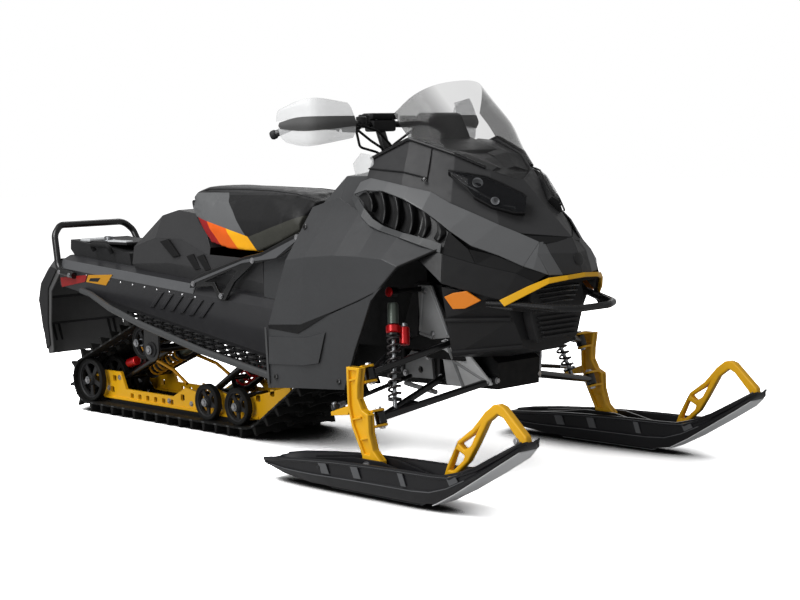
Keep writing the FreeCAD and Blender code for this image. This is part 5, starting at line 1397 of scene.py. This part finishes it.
def add_louvres():
    """Side vents: a dark back, curved fins and the grey band under them."""
    louvres = Pieces("louvres", "chassis", "vent_louvres")
    upper = ((560, -262, 878), (672, -264, 884), (770, -270, 860), (850, -270, 828), (900, -262, 798),
             (946, -262, 764))
    lower = ((548, -272, 866), (655, -292, 796), (711, -298, 776), (799, -304, 756), (890, -304, 744),
             (946, -290, 730))
    louvres.both("deep_black", drawn((upper, lower), RIGHT, wall=4))
    crests = ((600, -284, 884), (664, -286, 883), (728, -288, 870), (792, -291, 848), (852, -288, 824),
              (900, -276, 792))
    feet = ((628, -302, 824), (690, -312, 790), (750, -318, 772), (812, -320, 758), (868, -320, 750),
            (920, -308, 742))
    for head, foot in zip(crests, feet):
        head, foot = Vector(head), Vector(foot)
        rows = []
        for step in range(9):
            share = step / 8
            spot = head.lerp(foot, share) + Vector((17 * math.sin(share * math.pi),
                                                    -5 * math.sin(share * math.pi), 0))
            rows.append((spot + Vector((-19, 12, 4)), spot + Vector((-8, -2, 3)), spot + Vector((8, -5, -2)),
                         spot + Vector((13, -3, -6)), spot + Vector((12, 14, -6))))
        louvres.both("fin_black", drawn(rows, RIGHT, closed=True, edge=1.6, angle=30))
    high_row = ((545, -287, 874), (566, -290, 860), (606, -304, 832), (655, -314, 800), (711, -321, 779),
                (799, -326, 761), (890, -330, 747), (950, -314, 730))
    low_row = ((528, -284, 862), (552, -294, 840), (604, -318, 806), (653, -330, 780), (704, -336, 766),
               (803, -346, 747), (883, -342, 726), (955, -326, 704))
    louvres.both("mid_grey", drawn((high_row, low_row), RIGHT, wall=PANEL_WALL, edge=1.5, angle=10))
    louvres.make()


def add_grilles():
    """Front grille with its slats, the side reflectors and the front bumper."""
    repaint("belly_pan", "moulded_black")
    grille = Pieces("grilles", "chassis", "front_grille", "side_reflectors", "front_bumper")
    face = ((-118, 498), (-126, 560), (-110, 622), (110, 622), (126, 560), (118, 498), (92, 428), (-92, 428))
    grille.add("moulded_black", slab(face, 1090, 1128, 6, segments=3, plane="YZ"))
    for number in range(5):
        z = 604 - number * 15
        half = 150 - number * 8
        slat = tube(((1066, -half - 24, z - 14), (1160 - number * 5, -half * 0.5, z),
                     (1176 - number * 6, 0, z + 3), (1160 - number * 5, half * 0.5, z),
                     (1066, half + 24, z - 14)), 3.6, 60, 10)
        grille.add("gloss_black", slat)
    for number in range(5):
        z = 500 - number * 15
        grille.add("moulded_black", block((1130, 0, z), (20, 190 - number * 10, 7), 1.5))
    grille.add("moulded_black", slab(((-108, 508), (-112, 514), (112, 514), (108, 508), (88, 424),
                                      (-88, 424)), 1112, 1124, 3, plane="YZ"))
    bumper = ((1050, -232, 552), (1127, -190, 547), (1244, -128, 536), (1270, -70, 533))
    grille.add("gloss_black", tube(across(bumper), 10.5, 60, 18))
    blade = (((1118, -196, 556), (1232, -134, 546), (1276, -76, 541), (1280, 0, 541)),
             ((1108, -186, 540), (1214, -124, 528), (1256, -70, 524), (1260, 0, 524)))
    grille.both("gloss_black", drawn(blade, (0.6, -1, 0.2), wall=5, edge=1.5))
    wing = (((1060, -230, 560), (1130, -190, 556), (1236, -126, 545)),
            ((1050, -236, 540), (1120, -200, 530), (1180, -140, 520)))
    grille.both("gloss_black", drawn(wing, (0.6, -1, 0.2), wall=PANEL_WALL, edge=2))
    marker = (((950, -306, 572), (978, -298, 584), (1016, -280, 590)),
              ((975, -296, 536), (1010, -280, 538), (1056, -260, 562)))
    lens = drawn(marker, (0.4, -1, 0), wall=10, edge=2, angle=6)
    bmesh.ops.translate(lens, vec=(6, -9, 0), verts=lens.verts[:])
    grille.both("orange", lens)
    for route in (((944, -300, 500), (1090, -170, 500)), ((944, -272, 400), (1090, -118, 414))):
        grille.both("moulded_black", tube(route, 7, 20, 8))
    grille.make()


class SNOWMOBILE_OT_front(bpy.types.Operator):
    """Fairings, louvres, grilles, reflectors, bumper and belly pan"""

    bl_idname = "snowmobile.front"
    bl_label = "Front fairings and grilles"

    def execute(self, context):
        fairings = Pieces("fairings", "chassis", "side_fairings")
        upper = ((850, -286, 826), (943, -273, 762), (1065, -208, 694), (1144, -163, 658), (1190, -118, 634))
        waist = ((860, -326, 745), (955, -318, 700), (1036, -258, 668), (1130, -188, 640), (1172, -150, 612))
        low = ((870, -345, 690), (950, -320, 612), (1047, -255, 577), (1100, -215, 560), (1112, -206, 548))
        fairings.both("hood_grey", panel((upper[:2], waist[:2], low[:2]), RIGHT))
        fairings.both("hood_grey", panel((waist[1:], low[1:]), (0.5, -1, 0)))
        # The facets under the band in deep black against the fairing's grey: painted shade under the band.
        fairings.both("deep_black", panel(((upper[1], (1010, -262, 712)), (waist[1], waist[2])), (0, -1, 0.2)))
        shade = ((1012, -262, 712), *upper[2:])
        fairings.both("deep_black", panel((shade, (waist[2], *waist[2:])), (0.5, -1, 0.3)))
        fairings.make()
        add_duct()
        add_louvres()
        add_grilles()
        return {"FINISHED"}


class SNOWMOBILE_OT_cockpit(bpy.types.Operator):
    """Windshield, dash and gauge pod"""

    bl_idname = "snowmobile.cockpit"
    bl_label = "Windshield and dash"

    def execute(self, context):
        screen = Pieces("windshield", "chassis", "windshield")
        middle = ((672, -203, 1085), (790, -160, 1092), (866, -98, 1078), (902, 0, 1062))
        top = ((640, -198, 1122), (690, -157, 1178), (738, -98, 1210), (772, 0, 1221))
        base = SCREEN_BASE[1:]
        rows = [across(row) for row in (base, between(base, middle, 0.5), middle, between(middle, top, 0.6),
                                        top)]
        screen.add("screen", drawn(eased(rows, 4), (0.5, 0, 0.3), wall=3.5))
        seam = [(x, y - 3, z + 4) for x, y, z in ((538, -200, 979), *base[:2], (940, -104, 946))]
        screen.both("gloss_black", tube(seam, 6, 30, 12))
        screen.make()
        repaint("dash", "moulded_black")
        cockpit = Pieces("cockpit", "chassis", "gauge_pod")
        hooded = ((612, 985), (600, 1060), (612, 1104), (640, 1126), (662, 1118), (704, 1036), (812, 1000),
                  (812, 985))
        cockpit.add("deep_black", slab(hooded, -88, 88, 12, segments=4))
        base = ((612, 985), (604, 1040), (690, 1044), (812, 1002), (812, 985))
        cockpit.add("deep_black", slab(base, -104, 104, 8, segments=3))
        fin = (((470, -212, 930), (462, -214, 968)), ((520, -216, 938), (498, -212, 1002)),
               ((566, -220, 948), (548, -206, 994)))
        cockpit.both("guard_clear", drawn(fin, (0, -1, 0.2), wall=3, edge=1))
        face = ((607, 1000), (601, 1056), (609, 1094), (615, 1094), (618, 1000))
        cockpit.add("gloss_black", slab(face, -86, 86, 2))
        for side in (-1, 1):
            ridge = (((700, side * 188, 1034), (860, side * 142, 984), (945, side * 86, 936)),
                     ((690, side * 130, 1040), (850, side * 96, 994), (930, side * 40, 950)),
                     ((700, side * 60, 1022), (850, side * 30, 984), (920, 0, 940)))
            cockpit.add("moulded_black", drawn(ridge, (0.3, 0, 1), wall=4, edge=2, angle=6))
        cockpit.make()
        return {"FINISHED"}


# Front suspension
LOWER_BALL = Vector((853, -488, 222))
UPPER_BALL = Vector((812, -488, 350))
STEER_AXIS = (UPPER_BALL - LOWER_BALL).normalized()


def add_castings():
    """Cast plates, ribs and bolts over the bulkhead's sides."""
    cast = Pieces("castings", "chassis")
    tower = ((738, 590), (798, 590), (850, 482), (872, 434), (800, 424), (744, 440))
    cast.both("castings", slab(tower, -208, -199, 2.5))
    for start, end in (((744, -207, 446), (762, -207, 586)), ((864, -207, 440), (790, -207, 584)),
                       ((744, -207, 440), (800, -207, 428))):
        cast.both("castings", bar(start, end, 5, 1, 12))
    # The foot casting in a paler copy of the castings' metal: painted light.
    foot = (((796, -196, 412), (849, -205, 426), (900, -190, 410)), ((786, -152, 350), (852, -170, 356),
                                                                     (932, -152, 344)),
            ((764, -116, 268), (850, -126, 268), (958, -114, 282)))
    cast.both("foot_cast", drawn(foot, RIGHT, wall=10, edge=3))
    for start, end in (((851, -206, 424), (852, -172, 356)), ((852, -172, 356), (850, -128, 270)),
                       ((852, -172, 356), (950, -120, 290))):
        cast.both("castings", bar(start, end, 5, 1, 12))
    for x in (560, 720):
        cast.both("moulded_black", slab(((x, 272), (x + 12, 272), (x + 12, 384), (x, 384)), -112, -96, 3))
    plate_holes = (ring_points(590, 340, 11, 20), ring_points(642, 306, 11, 20))
    cast.both("castings", slab(((548, 300), (600, 364), (690, 360), (698, 280), (570, 276)), -108, -97, 3,
                               plate_holes))
    cast.both("castings", bar((600, -136, 262), (780, -180, 254), 8, 1, 18))
    cast.both("moulded_black", slab(((668, 414), (668, 450), (724, 594), (746, 594), (730, 430)), -206, -199,
                                    2))
    cast.bolts(-112, 8, (736, 290), (944, 296), (576, 290), (680, 350))
    cast.bolts(-209, 8, (680, 431), (908, 431), (768, 574), (800, 440))
    cast.make()


def add_shocks():
    """Coil-over shocks with their collars, cans and eyes."""
    shocks = Pieces("front_shocks", "chassis", "front_shocks")
    low, high = Vector((836, -412, 238)), Vector((750, -328, 578))
    along = high - low
    axis = along.normalized()
    shocks.both("brushed", bar(low, low + along * 0.6, 6.5))
    shocks.both("spring_black", coil(low + along * 0.09, low + along * 0.62, 18, 4, 8.5))
    for share, wide in ((0.07, 21), (0.62, 22)):
        shocks.both("black_steel", lathe([(0, 0), (0, wide), (6, wide), (7, wide - 2), (7, 0)],
                                         low + along * share, along, 28))
    collar = [(0, 0), (0, 19), (4, 23), (22, 23), (26, 19), (26, 0)]
    shocks.both("red_metal", lathe(collar, low + along * 0.64, along, 32))
    can = [(0, 0), (0, 17), (60, 17), (66, 15), (66, 0)]
    shocks.both("shock_body", lathe(can, low + along * 0.72, along, 32))
    eye = lathe([(-14, 0), (-14, 15), (14, 15), (14, 0)], high, (0, -1, 0.1), 28)
    shocks.both("black_steel", eye)
    shocks.both("red_metal", lathe([(13, 0), (13, 15), (17, 15), (19, 12), (19, 0)], high, (0, -1, 0.1), 28))
    shocks.both("zinc", lathe([(-20, 0), (-20, 8), (-14, 8), (-14, 0)], low, (1, 0, 0.3), 20))
    can_at = Vector((806, -336, 420))
    shocks.both("red_metal", lathe([(0, 0), (0, 13), (3, 16), (52, 16), (56, 12), (56, 0)], can_at, axis, 28))
    shocks.both("brushed", lathe([(56, 0), (56, 9), (66, 9), (70, 5), (70, 0)], can_at, axis, 24))
    shocks.make()


class SNOWMOBILE_OT_suspension(bpy.types.Operator):
    """Castings, arms and front shocks"""

    bl_idname = "snowmobile.suspension"
    bl_label = "Front suspension"

    def execute(self, context):
        repaint("bulkhead", "deep_black")
        repaint("engine", "deep_black")
        add_castings()
        arms = Pieces("arms", "chassis", "lower_arms", "upper_arms")
        for ball, feet, radius in ((LOWER_BALL, ((944, -96, 296), (736, -96, 290)), 11),
                                   (UPPER_BALL, ((908, -198, 431), (680, -198, 431)), 10)):
            for foot in feet:
                foot = Vector(foot)
                arms.both("black_steel", bar(foot, ball, radius, 1, 24))
                hub = foot + (foot - ball).normalized() * 2
                arms.both("black_steel", lathe([(-17, 0), (-17, 15), (17, 15), (17, 0)], hub, AHEAD, 24))
                arms.both("zinc", bolt(foot + Vector((19, 0, 0)), AHEAD, 8))
            house = [(-19, 0), (-19, 14), (-16, 17), (16, 17), (19, 14), (19, 0)]
            arms.both("black_steel", lathe(house, ball, STEER_AXIS, 28))
        gusset = drawn((((838, -440, 231), (866, -440, 231)), ((806, -330, 252), (890, -330, 252))), UP,
                       wall=3)
        arms.both("black_steel", gusset)
        arms.make()
        add_shocks()
        return {"FINISHED"}


def spindle_shapes():
    """The right spindle: leg, ears, steering arm and bolts."""
    outline = ((778, 376), (780, 259), (795, 200), (838, 116), (842, 76), (915, 76), (916, 108), (886, 136),
               (870, 186), (868, 240), (842, 252), (824, 284), (826, 322), (836, 376))
    groove = ((788, 366), (789, 262), (803, 206), (847, 122), (870, 122), (874, 140), (858, 182), (856, 232),
              (834, 244), (812, 282), (814, 324), (822, 366))
    yield "yellow", slab(outline, -545, -535, 1.5)
    yield "yellow", slab(outline, -554, -526, 3, (groove,), 3)
    for x, z in ((796, 330), (812, 216), (848, 160)):
        yield "yellow", slab(((x - 18, z), (x + 22, z + 10), (x + 22, z + 16), (x - 18, z + 6)), -552, -528,
                             1.5)
    for ball in (LOWER_BALL, UPPER_BALL):
        for offset in (19.4, -26.4):
            ear = [(0, 0), (0, 16), (1, 17), (6, 17), (7, 16), (7, 0)]
            yield "yellow", lathe(ear, ball + STEER_AXIS * offset, STEER_AXIS, 32)
            root = block((0, -22, 3.5), (32, 34, 7), 1)
            place = facing(ball + STEER_AXIS * offset, STEER_AXIS)
            bmesh.ops.transform(root, matrix=place @ ear_turn(ball, offset), verts=root.verts[:])
            yield "yellow", root
        yield "zinc", bolt(ball + STEER_AXIS * 26.4, STEER_AXIS, 10)
        yield "zinc", bolt(ball - STEER_AXIS * 26.4, -STEER_AXIS, 9)
    arm = ((700, 221), (775, 230), (790, arm_top(790)), (700, arm_top(700)))
    yield "yellow", slab(arm, -549, -531, 2)
    pivot_x, pivot_z = SKI_PIVOT
    yield "zinc", bolt((pivot_x, -560, pivot_z), RIGHT, 13, 9)


def ear_turn(ball, offset):
    """Turns an ear's root towards the leg."""
    place = facing(ball + STEER_AXIS * offset, STEER_AXIS).to_3x3()
    outward = place.inverted() @ Vector(RIGHT)
    return Matrix.Rotation(math.atan2(outward.y, outward.x) + math.pi / 2, 4, "Z")


def tie_rod_shapes():
    """The right tie rod, from its outer ball to its inner end."""
    outer, inner = Vector((711, -540, 247)), Vector((668, -178, 296))
    along = (inner - outer).normalized()
    yield "black_steel", bar(outer + along * 10, inner, 7, 1, 18)
    yield "zinc", bar(outer + along * 14, outer + along * 44, 8, 1, 6)
    eye = [(-9, 0), (-9, 10), (-6, 12), (6, 12), (9, 10), (9, 0)]
    yield "black_steel", lathe(eye, outer, STEER_AXIS, 28)
    stud = [(8, 0), (8, 8), (14, 8), (16, 5), (16, 0)]
    yield "brushed", lathe(stud, outer, STEER_AXIS, 20)


class SNOWMOBILE_OT_spindles(bpy.types.Operator):
    """Forged spindles and tie rods"""

    bl_idname = "snowmobile.spindles"
    bl_label = "Spindles and tie rods"

    def execute(self, context):
        for side in ("right", "left"):
            corner_piece(side, "spindle", "spindle", spindle_shapes(), "spindle")
            corner_piece(side, "tie_rod", "tie_rod", tie_rod_shapes(), "tie_rod")
        return {"FINISHED"}


def arm_top(x):
    """Height of the steering arm's top."""
    lean = 41 / 128
    return 247 + (x - 711) * lean - 9.4 * math.sqrt(1 + lean * lean)


# Skis
SKI_SECTIONS = ((420, 50, 64, 62, 44, 38), (445, 40, 70, 56, 54, 42), (510, 26, 78, 44, 62, 46),
                (635, 14, 90, 26, 68, 46), (760, 14, 99, 26, 68, 46), (878, 14, 104, 26, 68, 46),
                (1000, 14, 108, 26, 68, 46), (1097, 14, 110, 26, 68, 46), (1167, 24, 110, 38, 68, 48),
                (1247, 64, 114, 78, 68, 54), (1347, 122, 152, 136, 68, 60), (1437, 176, 200, 188, 64, 60),
                (1478, 206, 228, 218, 46, 42), (1489, 218, 233, 230, 28, 24))


def ski_shapes():
    """The right ski: shell, ribs, lighter patches, painted highlight lines, keels, a tip underside painted
    light, bolts and loop.
    """
    rows = []
    for x, bottom, top, floor, half, foot in SKI_SECTIONS:
        lean = (half - foot) / (top - bottom)
        mid = bottom + (top - bottom) * 0.42
        waist = foot + (mid - bottom) * lean
        wall = ((half, top), (half + 2, top - 3), (half + 1 - lean * 6, top - 9),
                (half - 4 - lean * 8, top - 11), (waist - 1, mid + 3), (waist + 3, mid - 1),
                (waist + 2, mid - 5), (foot - 1, bottom + 8), (foot - 8, bottom))
        inner = ((foot - 14, floor), (foot - 8, floor + 3), (half - 8, top))
        ring = [(-y, z) for y, z in wall] + [(y, z) for y, z in reversed(wall)]
        ring += [(y, z) for y, z in reversed(inner)] + [(-y, z) for y, z in inner]
        rows.append([(x, -SKI_Y + y, z) for y, z in ring])
    yield "ski_plastic", drawn(rows, UP, closed=True)
    for edge in (-29, 29):
        rib = ((540, 24), (590, 84), (818, 113), (938, 113), (1127, 78), (1167, 40), (1157, 26), (1137, 22))
        yield "ski_plastic", slab(rib, -SKI_Y + edge - 4, -SKI_Y + edge + 4, 2)
    for x in (560, 600, 640, 680, 1000, 1035, 1070, 1105):
        tall = 20 + 60 * (1 - abs(x - 870) / 400)
        yield "ski_plastic", block((x, -SKI_Y, 24 + tall / 2), (7, 60, tall), 1.5)
    for side in (-1, 1):
        for x, wide in ((700, 34), (842, 30), (1040, 20), (1236, 34)):
            patch = [[on_ski_wall(x + shift + share * 14, share, side) for shift in (0, wide)]
                     for share in (0.1, 0.5)]
            yield "ski_scuffed", drawn(patch, (0, side, 0), wall=2.5)
        # A paler grey line along the wall at the ledge: a painted highlight line.
        ledge = [on_ski_wall(x, 0.6, side) for x in range(460, 1301, 70)]
        yield "ski_scuffed", tube(ledge, 1.6, 20, 6)
        rim = [on_ski_wall(x, 0.0, side) + Vector(UP) for x in range(430, 1490, 66)]
        yield "ski_plastic", tube(rim, 3.4, 20, 8)
        # A paler grey line just under the rim: a painted highlight line.
        crest = [on_ski_wall(x, 0.04, side) for x in range(520, 1301, 60)]
        yield "ski_scuffed", tube(crest, 1.4, 20, 6)
    keel = ((650, 15), (690, 4), (1076, 4), (1110, 15))
    for edge in (-14, 14):
        yield "ski_plastic", slab(keel, -SKI_Y + edge - 3, -SKI_Y + edge + 3, 1.5)
    # The tip's underside in near white: painted light, as it faces down into shade.
    tip = [[(x, -SKI_Y + y, z) for y in (-half, 0, half)] for x, z, half in
           ((1150, 15, 38), (1167, 21.5, 42), (1247, 61.5, 48), (1347, 119.5, 54), (1437, 173.5, 55),
            (1478, 203.5, 36))]
    yield "ski_tip", drawn(tip, (0.4, 0, -1), wall=2.2)
    pivot_x, pivot_z = SKI_PIVOT
    yield "zinc", bar((pivot_x, -SKI_Y - 40, pivot_z), (pivot_x, -SKI_Y + 40, pivot_z), 7)
    yield "zinc", bolt((pivot_x, -SKI_Y - 34, pivot_z), RIGHT, 12)
    yield "zinc", bolt((1160, -SKI_Y - 13, 84), RIGHT, 8)
    yield "zinc", bolt((1448, -SKI_Y - 13, 228), RIGHT, 8)
    yield "black_steel", bolt((700, -SKI_Y - 62, 74), RIGHT, 7)
    yield "yellow", ski_loop()


def on_ski_wall(x, share, side):
    """A spot on the ski's outer wall, at a share of the way from its rim to its sole."""
    for low, high in zip(SKI_SECTIONS, SKI_SECTIONS[1:]):
        if x <= high[0]:
            break
    along = (x - low[0]) / (high[0] - low[0])
    bottom, top, half, foot = (low[item] + (high[item] - low[item]) * along for item in (1, 2, 4, 5))
    reach = half + (foot - half) * share + 2.4
    return Vector((x, -SKI_Y + side * reach, top + (bottom - top) * share))


def ski_loop():
    """The right ski's lifting loop with its two windows."""
    outline = ((1164, 30), (1170, 97), (1187, 136), (1227, 205), (1285, 246), (1332, 296), (1362, 318),
               (1382, 322), (1402, 316), (1482, 243), (1486, 222), (1462, 206), (1455, 226), (1400, 284),
               (1378, 294), (1342, 268), (1298, 197), (1266, 150), (1212, 104), (1196, 40))
    windows = (((1234, 196), (1252, 182), (1276, 196), (1306, 246), (1284, 226)),
               ((1192, 118), (1206, 118), (1246, 152), (1252, 166), (1222, 180)))
    return slab(outline, -SKI_Y - 12, -SKI_Y + 12, 5, windows, 3)


class SNOWMOBILE_OT_skis(bpy.types.Operator):
    """Moulded skis with ribs, loops, runners and bolts"""

    bl_idname = "snowmobile.skis"
    bl_label = "Skis"

    def execute(self, context):
        for side in ("right", "left"):
            corner_piece(side, "ski", "ski", ski_shapes(), "ski", "ski_loop")
            repaint(f"runner_{side}", "brushed")
        return {"FINISHED"}


# Steering
BAR_HALF = ((268, -372, 1068), (345, -330, 1100), (440, -190, 1088), (378, -70, 1094), (368, -30, 1094))


def add_guards():
    """Hand guards: a clear shell above and below a grey band."""
    guards = Pieces("hand_guards", "bar", "hand_guards")
    upper = (((336, -392, 1152), (392, -374, 1172), (452, -346, 1178), (478, -244, 1162)),
             ((322, -404, 1140), (394, -384, 1150), (460, -354, 1154), (488, -238, 1146)),
             ((318, -407, 1108), (396, -390, 1116), (468, -362, 1118), (498, -234, 1118)))
    body = (((330, -404, 1104), (396, -390, 1118), (468, -362, 1120), (498, -234, 1120)),
            ((328, -407, 1094), (398, -396, 1096), (474, -367, 1096), (503, -232, 1102)),
            ((332, -403, 1084), (400, -388, 1076), (468, -362, 1076), (500, -230, 1088)))
    lower = (((322, -404, 1088), (400, -387, 1078), (467, -361, 1078), (499, -230, 1090)),
             ((332, -402, 1058), (402, -386, 1046), (464, -359, 1044), (494, -229, 1066)),
             ((350, -394, 1040), (406, -378, 1028), (456, -354, 1030), (484, -230, 1050)))
    out = (0.6, -1, 0)
    guards.both("guard_clear", drawn(eased(upper, 3), out, wall=3))
    guards.both("guard_clear", drawn(eased(lower, 3), out, wall=3))
    guards.both("worn_grey", drawn(eased(body, 3), out, wall=5))
    stay = tube(((436, -190, 1092), (486, -214, 1100), (496, -240, 1102)), 6, 20, 12)
    guards.both("black_steel", stay)
    guards.make()


class SNOWMOBILE_OT_bar(bpy.types.Operator):
    """Handlebar, grips, guards, switches, levers and hoses"""

    bl_idname = "snowmobile.bar"
    bl_label = "Handlebar"

    def execute(self, context):
        repaint("steering_column", "black_steel")
        pieces = Pieces("bar", "bar", "handlebar", "grips", "bar_controls")
        pieces.add("black_steel", tube(across(BAR_HALF), 11, 60, 20))
        outer, inner = Vector(BAR_HALF[1]), Vector(BAR_HALF[2])
        along = inner - outer
        ribs = [(0, 0), (0, 15)]
        for number in range(14):
            ribs += [(8 + number * 8, 16.6), (11 + number * 8, 15.2)]
        pieces.both("soft_black", lathe([*ribs, (122, 20), (126, 20), (128, 11), (128, 0)], outer, along, 28))
        pod = block((0, 0, 0), (44, 40, 54), 6)
        bmesh.ops.transform(pod, matrix=facing(inner + Vector((2, -10, 0)), along), verts=pod.verts[:])
        pieces.both("moulded_black", pod)
        for shift, size in ((Vector((-18, -10, 16)), (12, 18, 16)), (Vector((-20, -12, -6)), (14, 14, 12))):
            pieces.both("soft_black", block(inner + shift, size, 3))
        lever = tube((inner + Vector((30, -6, -4)), inner + Vector((34, -60, -6)),
                      outer + Vector((40, 20, -10)), outer + Vector((26, -6, -8))), 5, 24, 12)
        pieces.both("black_steel", lever)
        perch = bar(inner + Vector((8, 6, 0)), inner + Vector((34, -4, -4)), 9)
        pieces.both("black_steel", perch)
        can = [(0, 0), (0, 14), (3, 17), (24, 17), (26, 14), (26, 0)]
        pieces.add("moulded_black", lathe(can, inner + Vector((20, 20, 4)), UP, 24))
        pieces.add("moulded_black", slab(((344, 1070), (394, 1070), (394, 1110), (344, 1110)), -52, 52, 8,
                                         segments=3))
        for x in (354, 384):
            for y in (-38, 38):
                pieces.add("zinc", bolt((x, y, 1110), UP, 6))
        pieces.add("soft_black", block((368, 0, 1120), (60, 120, 22), 8))
        end = [(-6, 0), (-6, 12), (-2, 15), (8, 15), (14, 12), (14, 0)]
        pieces.both("moulded_black", lathe(end, BAR_HALF[0], Vector(BAR_HALF[0]) - Vector(BAR_HALF[1]), 24))
        for start, bend, low in (((440, -176, 1080), (424, -96, 1040), (404, -22, 1012)),
                                 ((430, -160, 1094), (440, -80, 1072), (420, 8, 1016)),
                                 ((436, -170, 1070), (396, -120, 1020), (392, -30, 1000))):
            route = (start, bend, low, (400, low[1] * 0.5, 968))
            pieces.both("soft_black", tube(route, 4.2, 40, 10))
        pieces.add("moulded_black", lathe([(0, 0), (0, 16), (3, 19), (24, 19), (27, 16), (27, 0)],
                                          (420, -120, 1098), UP, 24))
        pieces.add("moulded_black", block((402, 96, 1112), (34, 50, 20), 5))
        pieces.make()
        add_guards()
        return {"FINISHED"}


class SNOWMOBILE_PT_panel(bpy.types.Panel):
    """The snowmobile's pieces and settings"""

    bl_idname = "SNOWMOBILE_PT_panel"
    bl_label = "Snowmobile"
    bl_space_type = "VIEW_3D"
    bl_region_type = "UI"
    bl_category = "Snowmobile"

    def draw(self, context):
        layout = self.layout
        for group in (context.scene.snowmobile_colours, context.scene.snowmobile_shape):
            for name in group.__annotations__:
                layout.prop(group, name)
        for operator in OPERATORS:
            layout.operator(operator.bl_idname)


OPERATORS = (SNOWMOBILE_OT_stage, SNOWMOBILE_OT_track, SNOWMOBILE_OT_wheels, SNOWMOBILE_OT_rails,
             SNOWMOBILE_OT_skid_arms, SNOWMOBILE_OT_tunnel, SNOWMOBILE_OT_boards, SNOWMOBILE_OT_tail,
             SNOWMOBILE_OT_seat, SNOWMOBILE_OT_mid_body, SNOWMOBILE_OT_side_panels, SNOWMOBILE_OT_hood,
             SNOWMOBILE_OT_front, SNOWMOBILE_OT_cockpit, SNOWMOBILE_OT_suspension, SNOWMOBILE_OT_spindles,
             SNOWMOBILE_OT_skis, SNOWMOBILE_OT_bar)
CLASSES = (SnowmobileColours, SnowmobileShape, *OPERATORS, SNOWMOBILE_PT_panel)


def register():
    for item in CLASSES:
        bpy.utils.register_class(item)
    bpy.types.Scene.snowmobile_colours = PointerProperty(type=SnowmobileColours)
    bpy.types.Scene.snowmobile_shape = PointerProperty(type=SnowmobileShape)


def unregister():
    del bpy.types.Scene.snowmobile_shape
    del bpy.types.Scene.snowmobile_colours
    for item in reversed(CLASSES):
        bpy.utils.unregister_class(item)


def main():
    """Make every piece in order, and repaint the drive axle."""
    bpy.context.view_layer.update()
    register()
    for item in OPERATORS:
        group, name = item.bl_idname.split(".")
        getattr(getattr(bpy.ops, group), name)()
    repaint("drive_axle", "moulded_black")


if __name__ == "__main__":
    main()
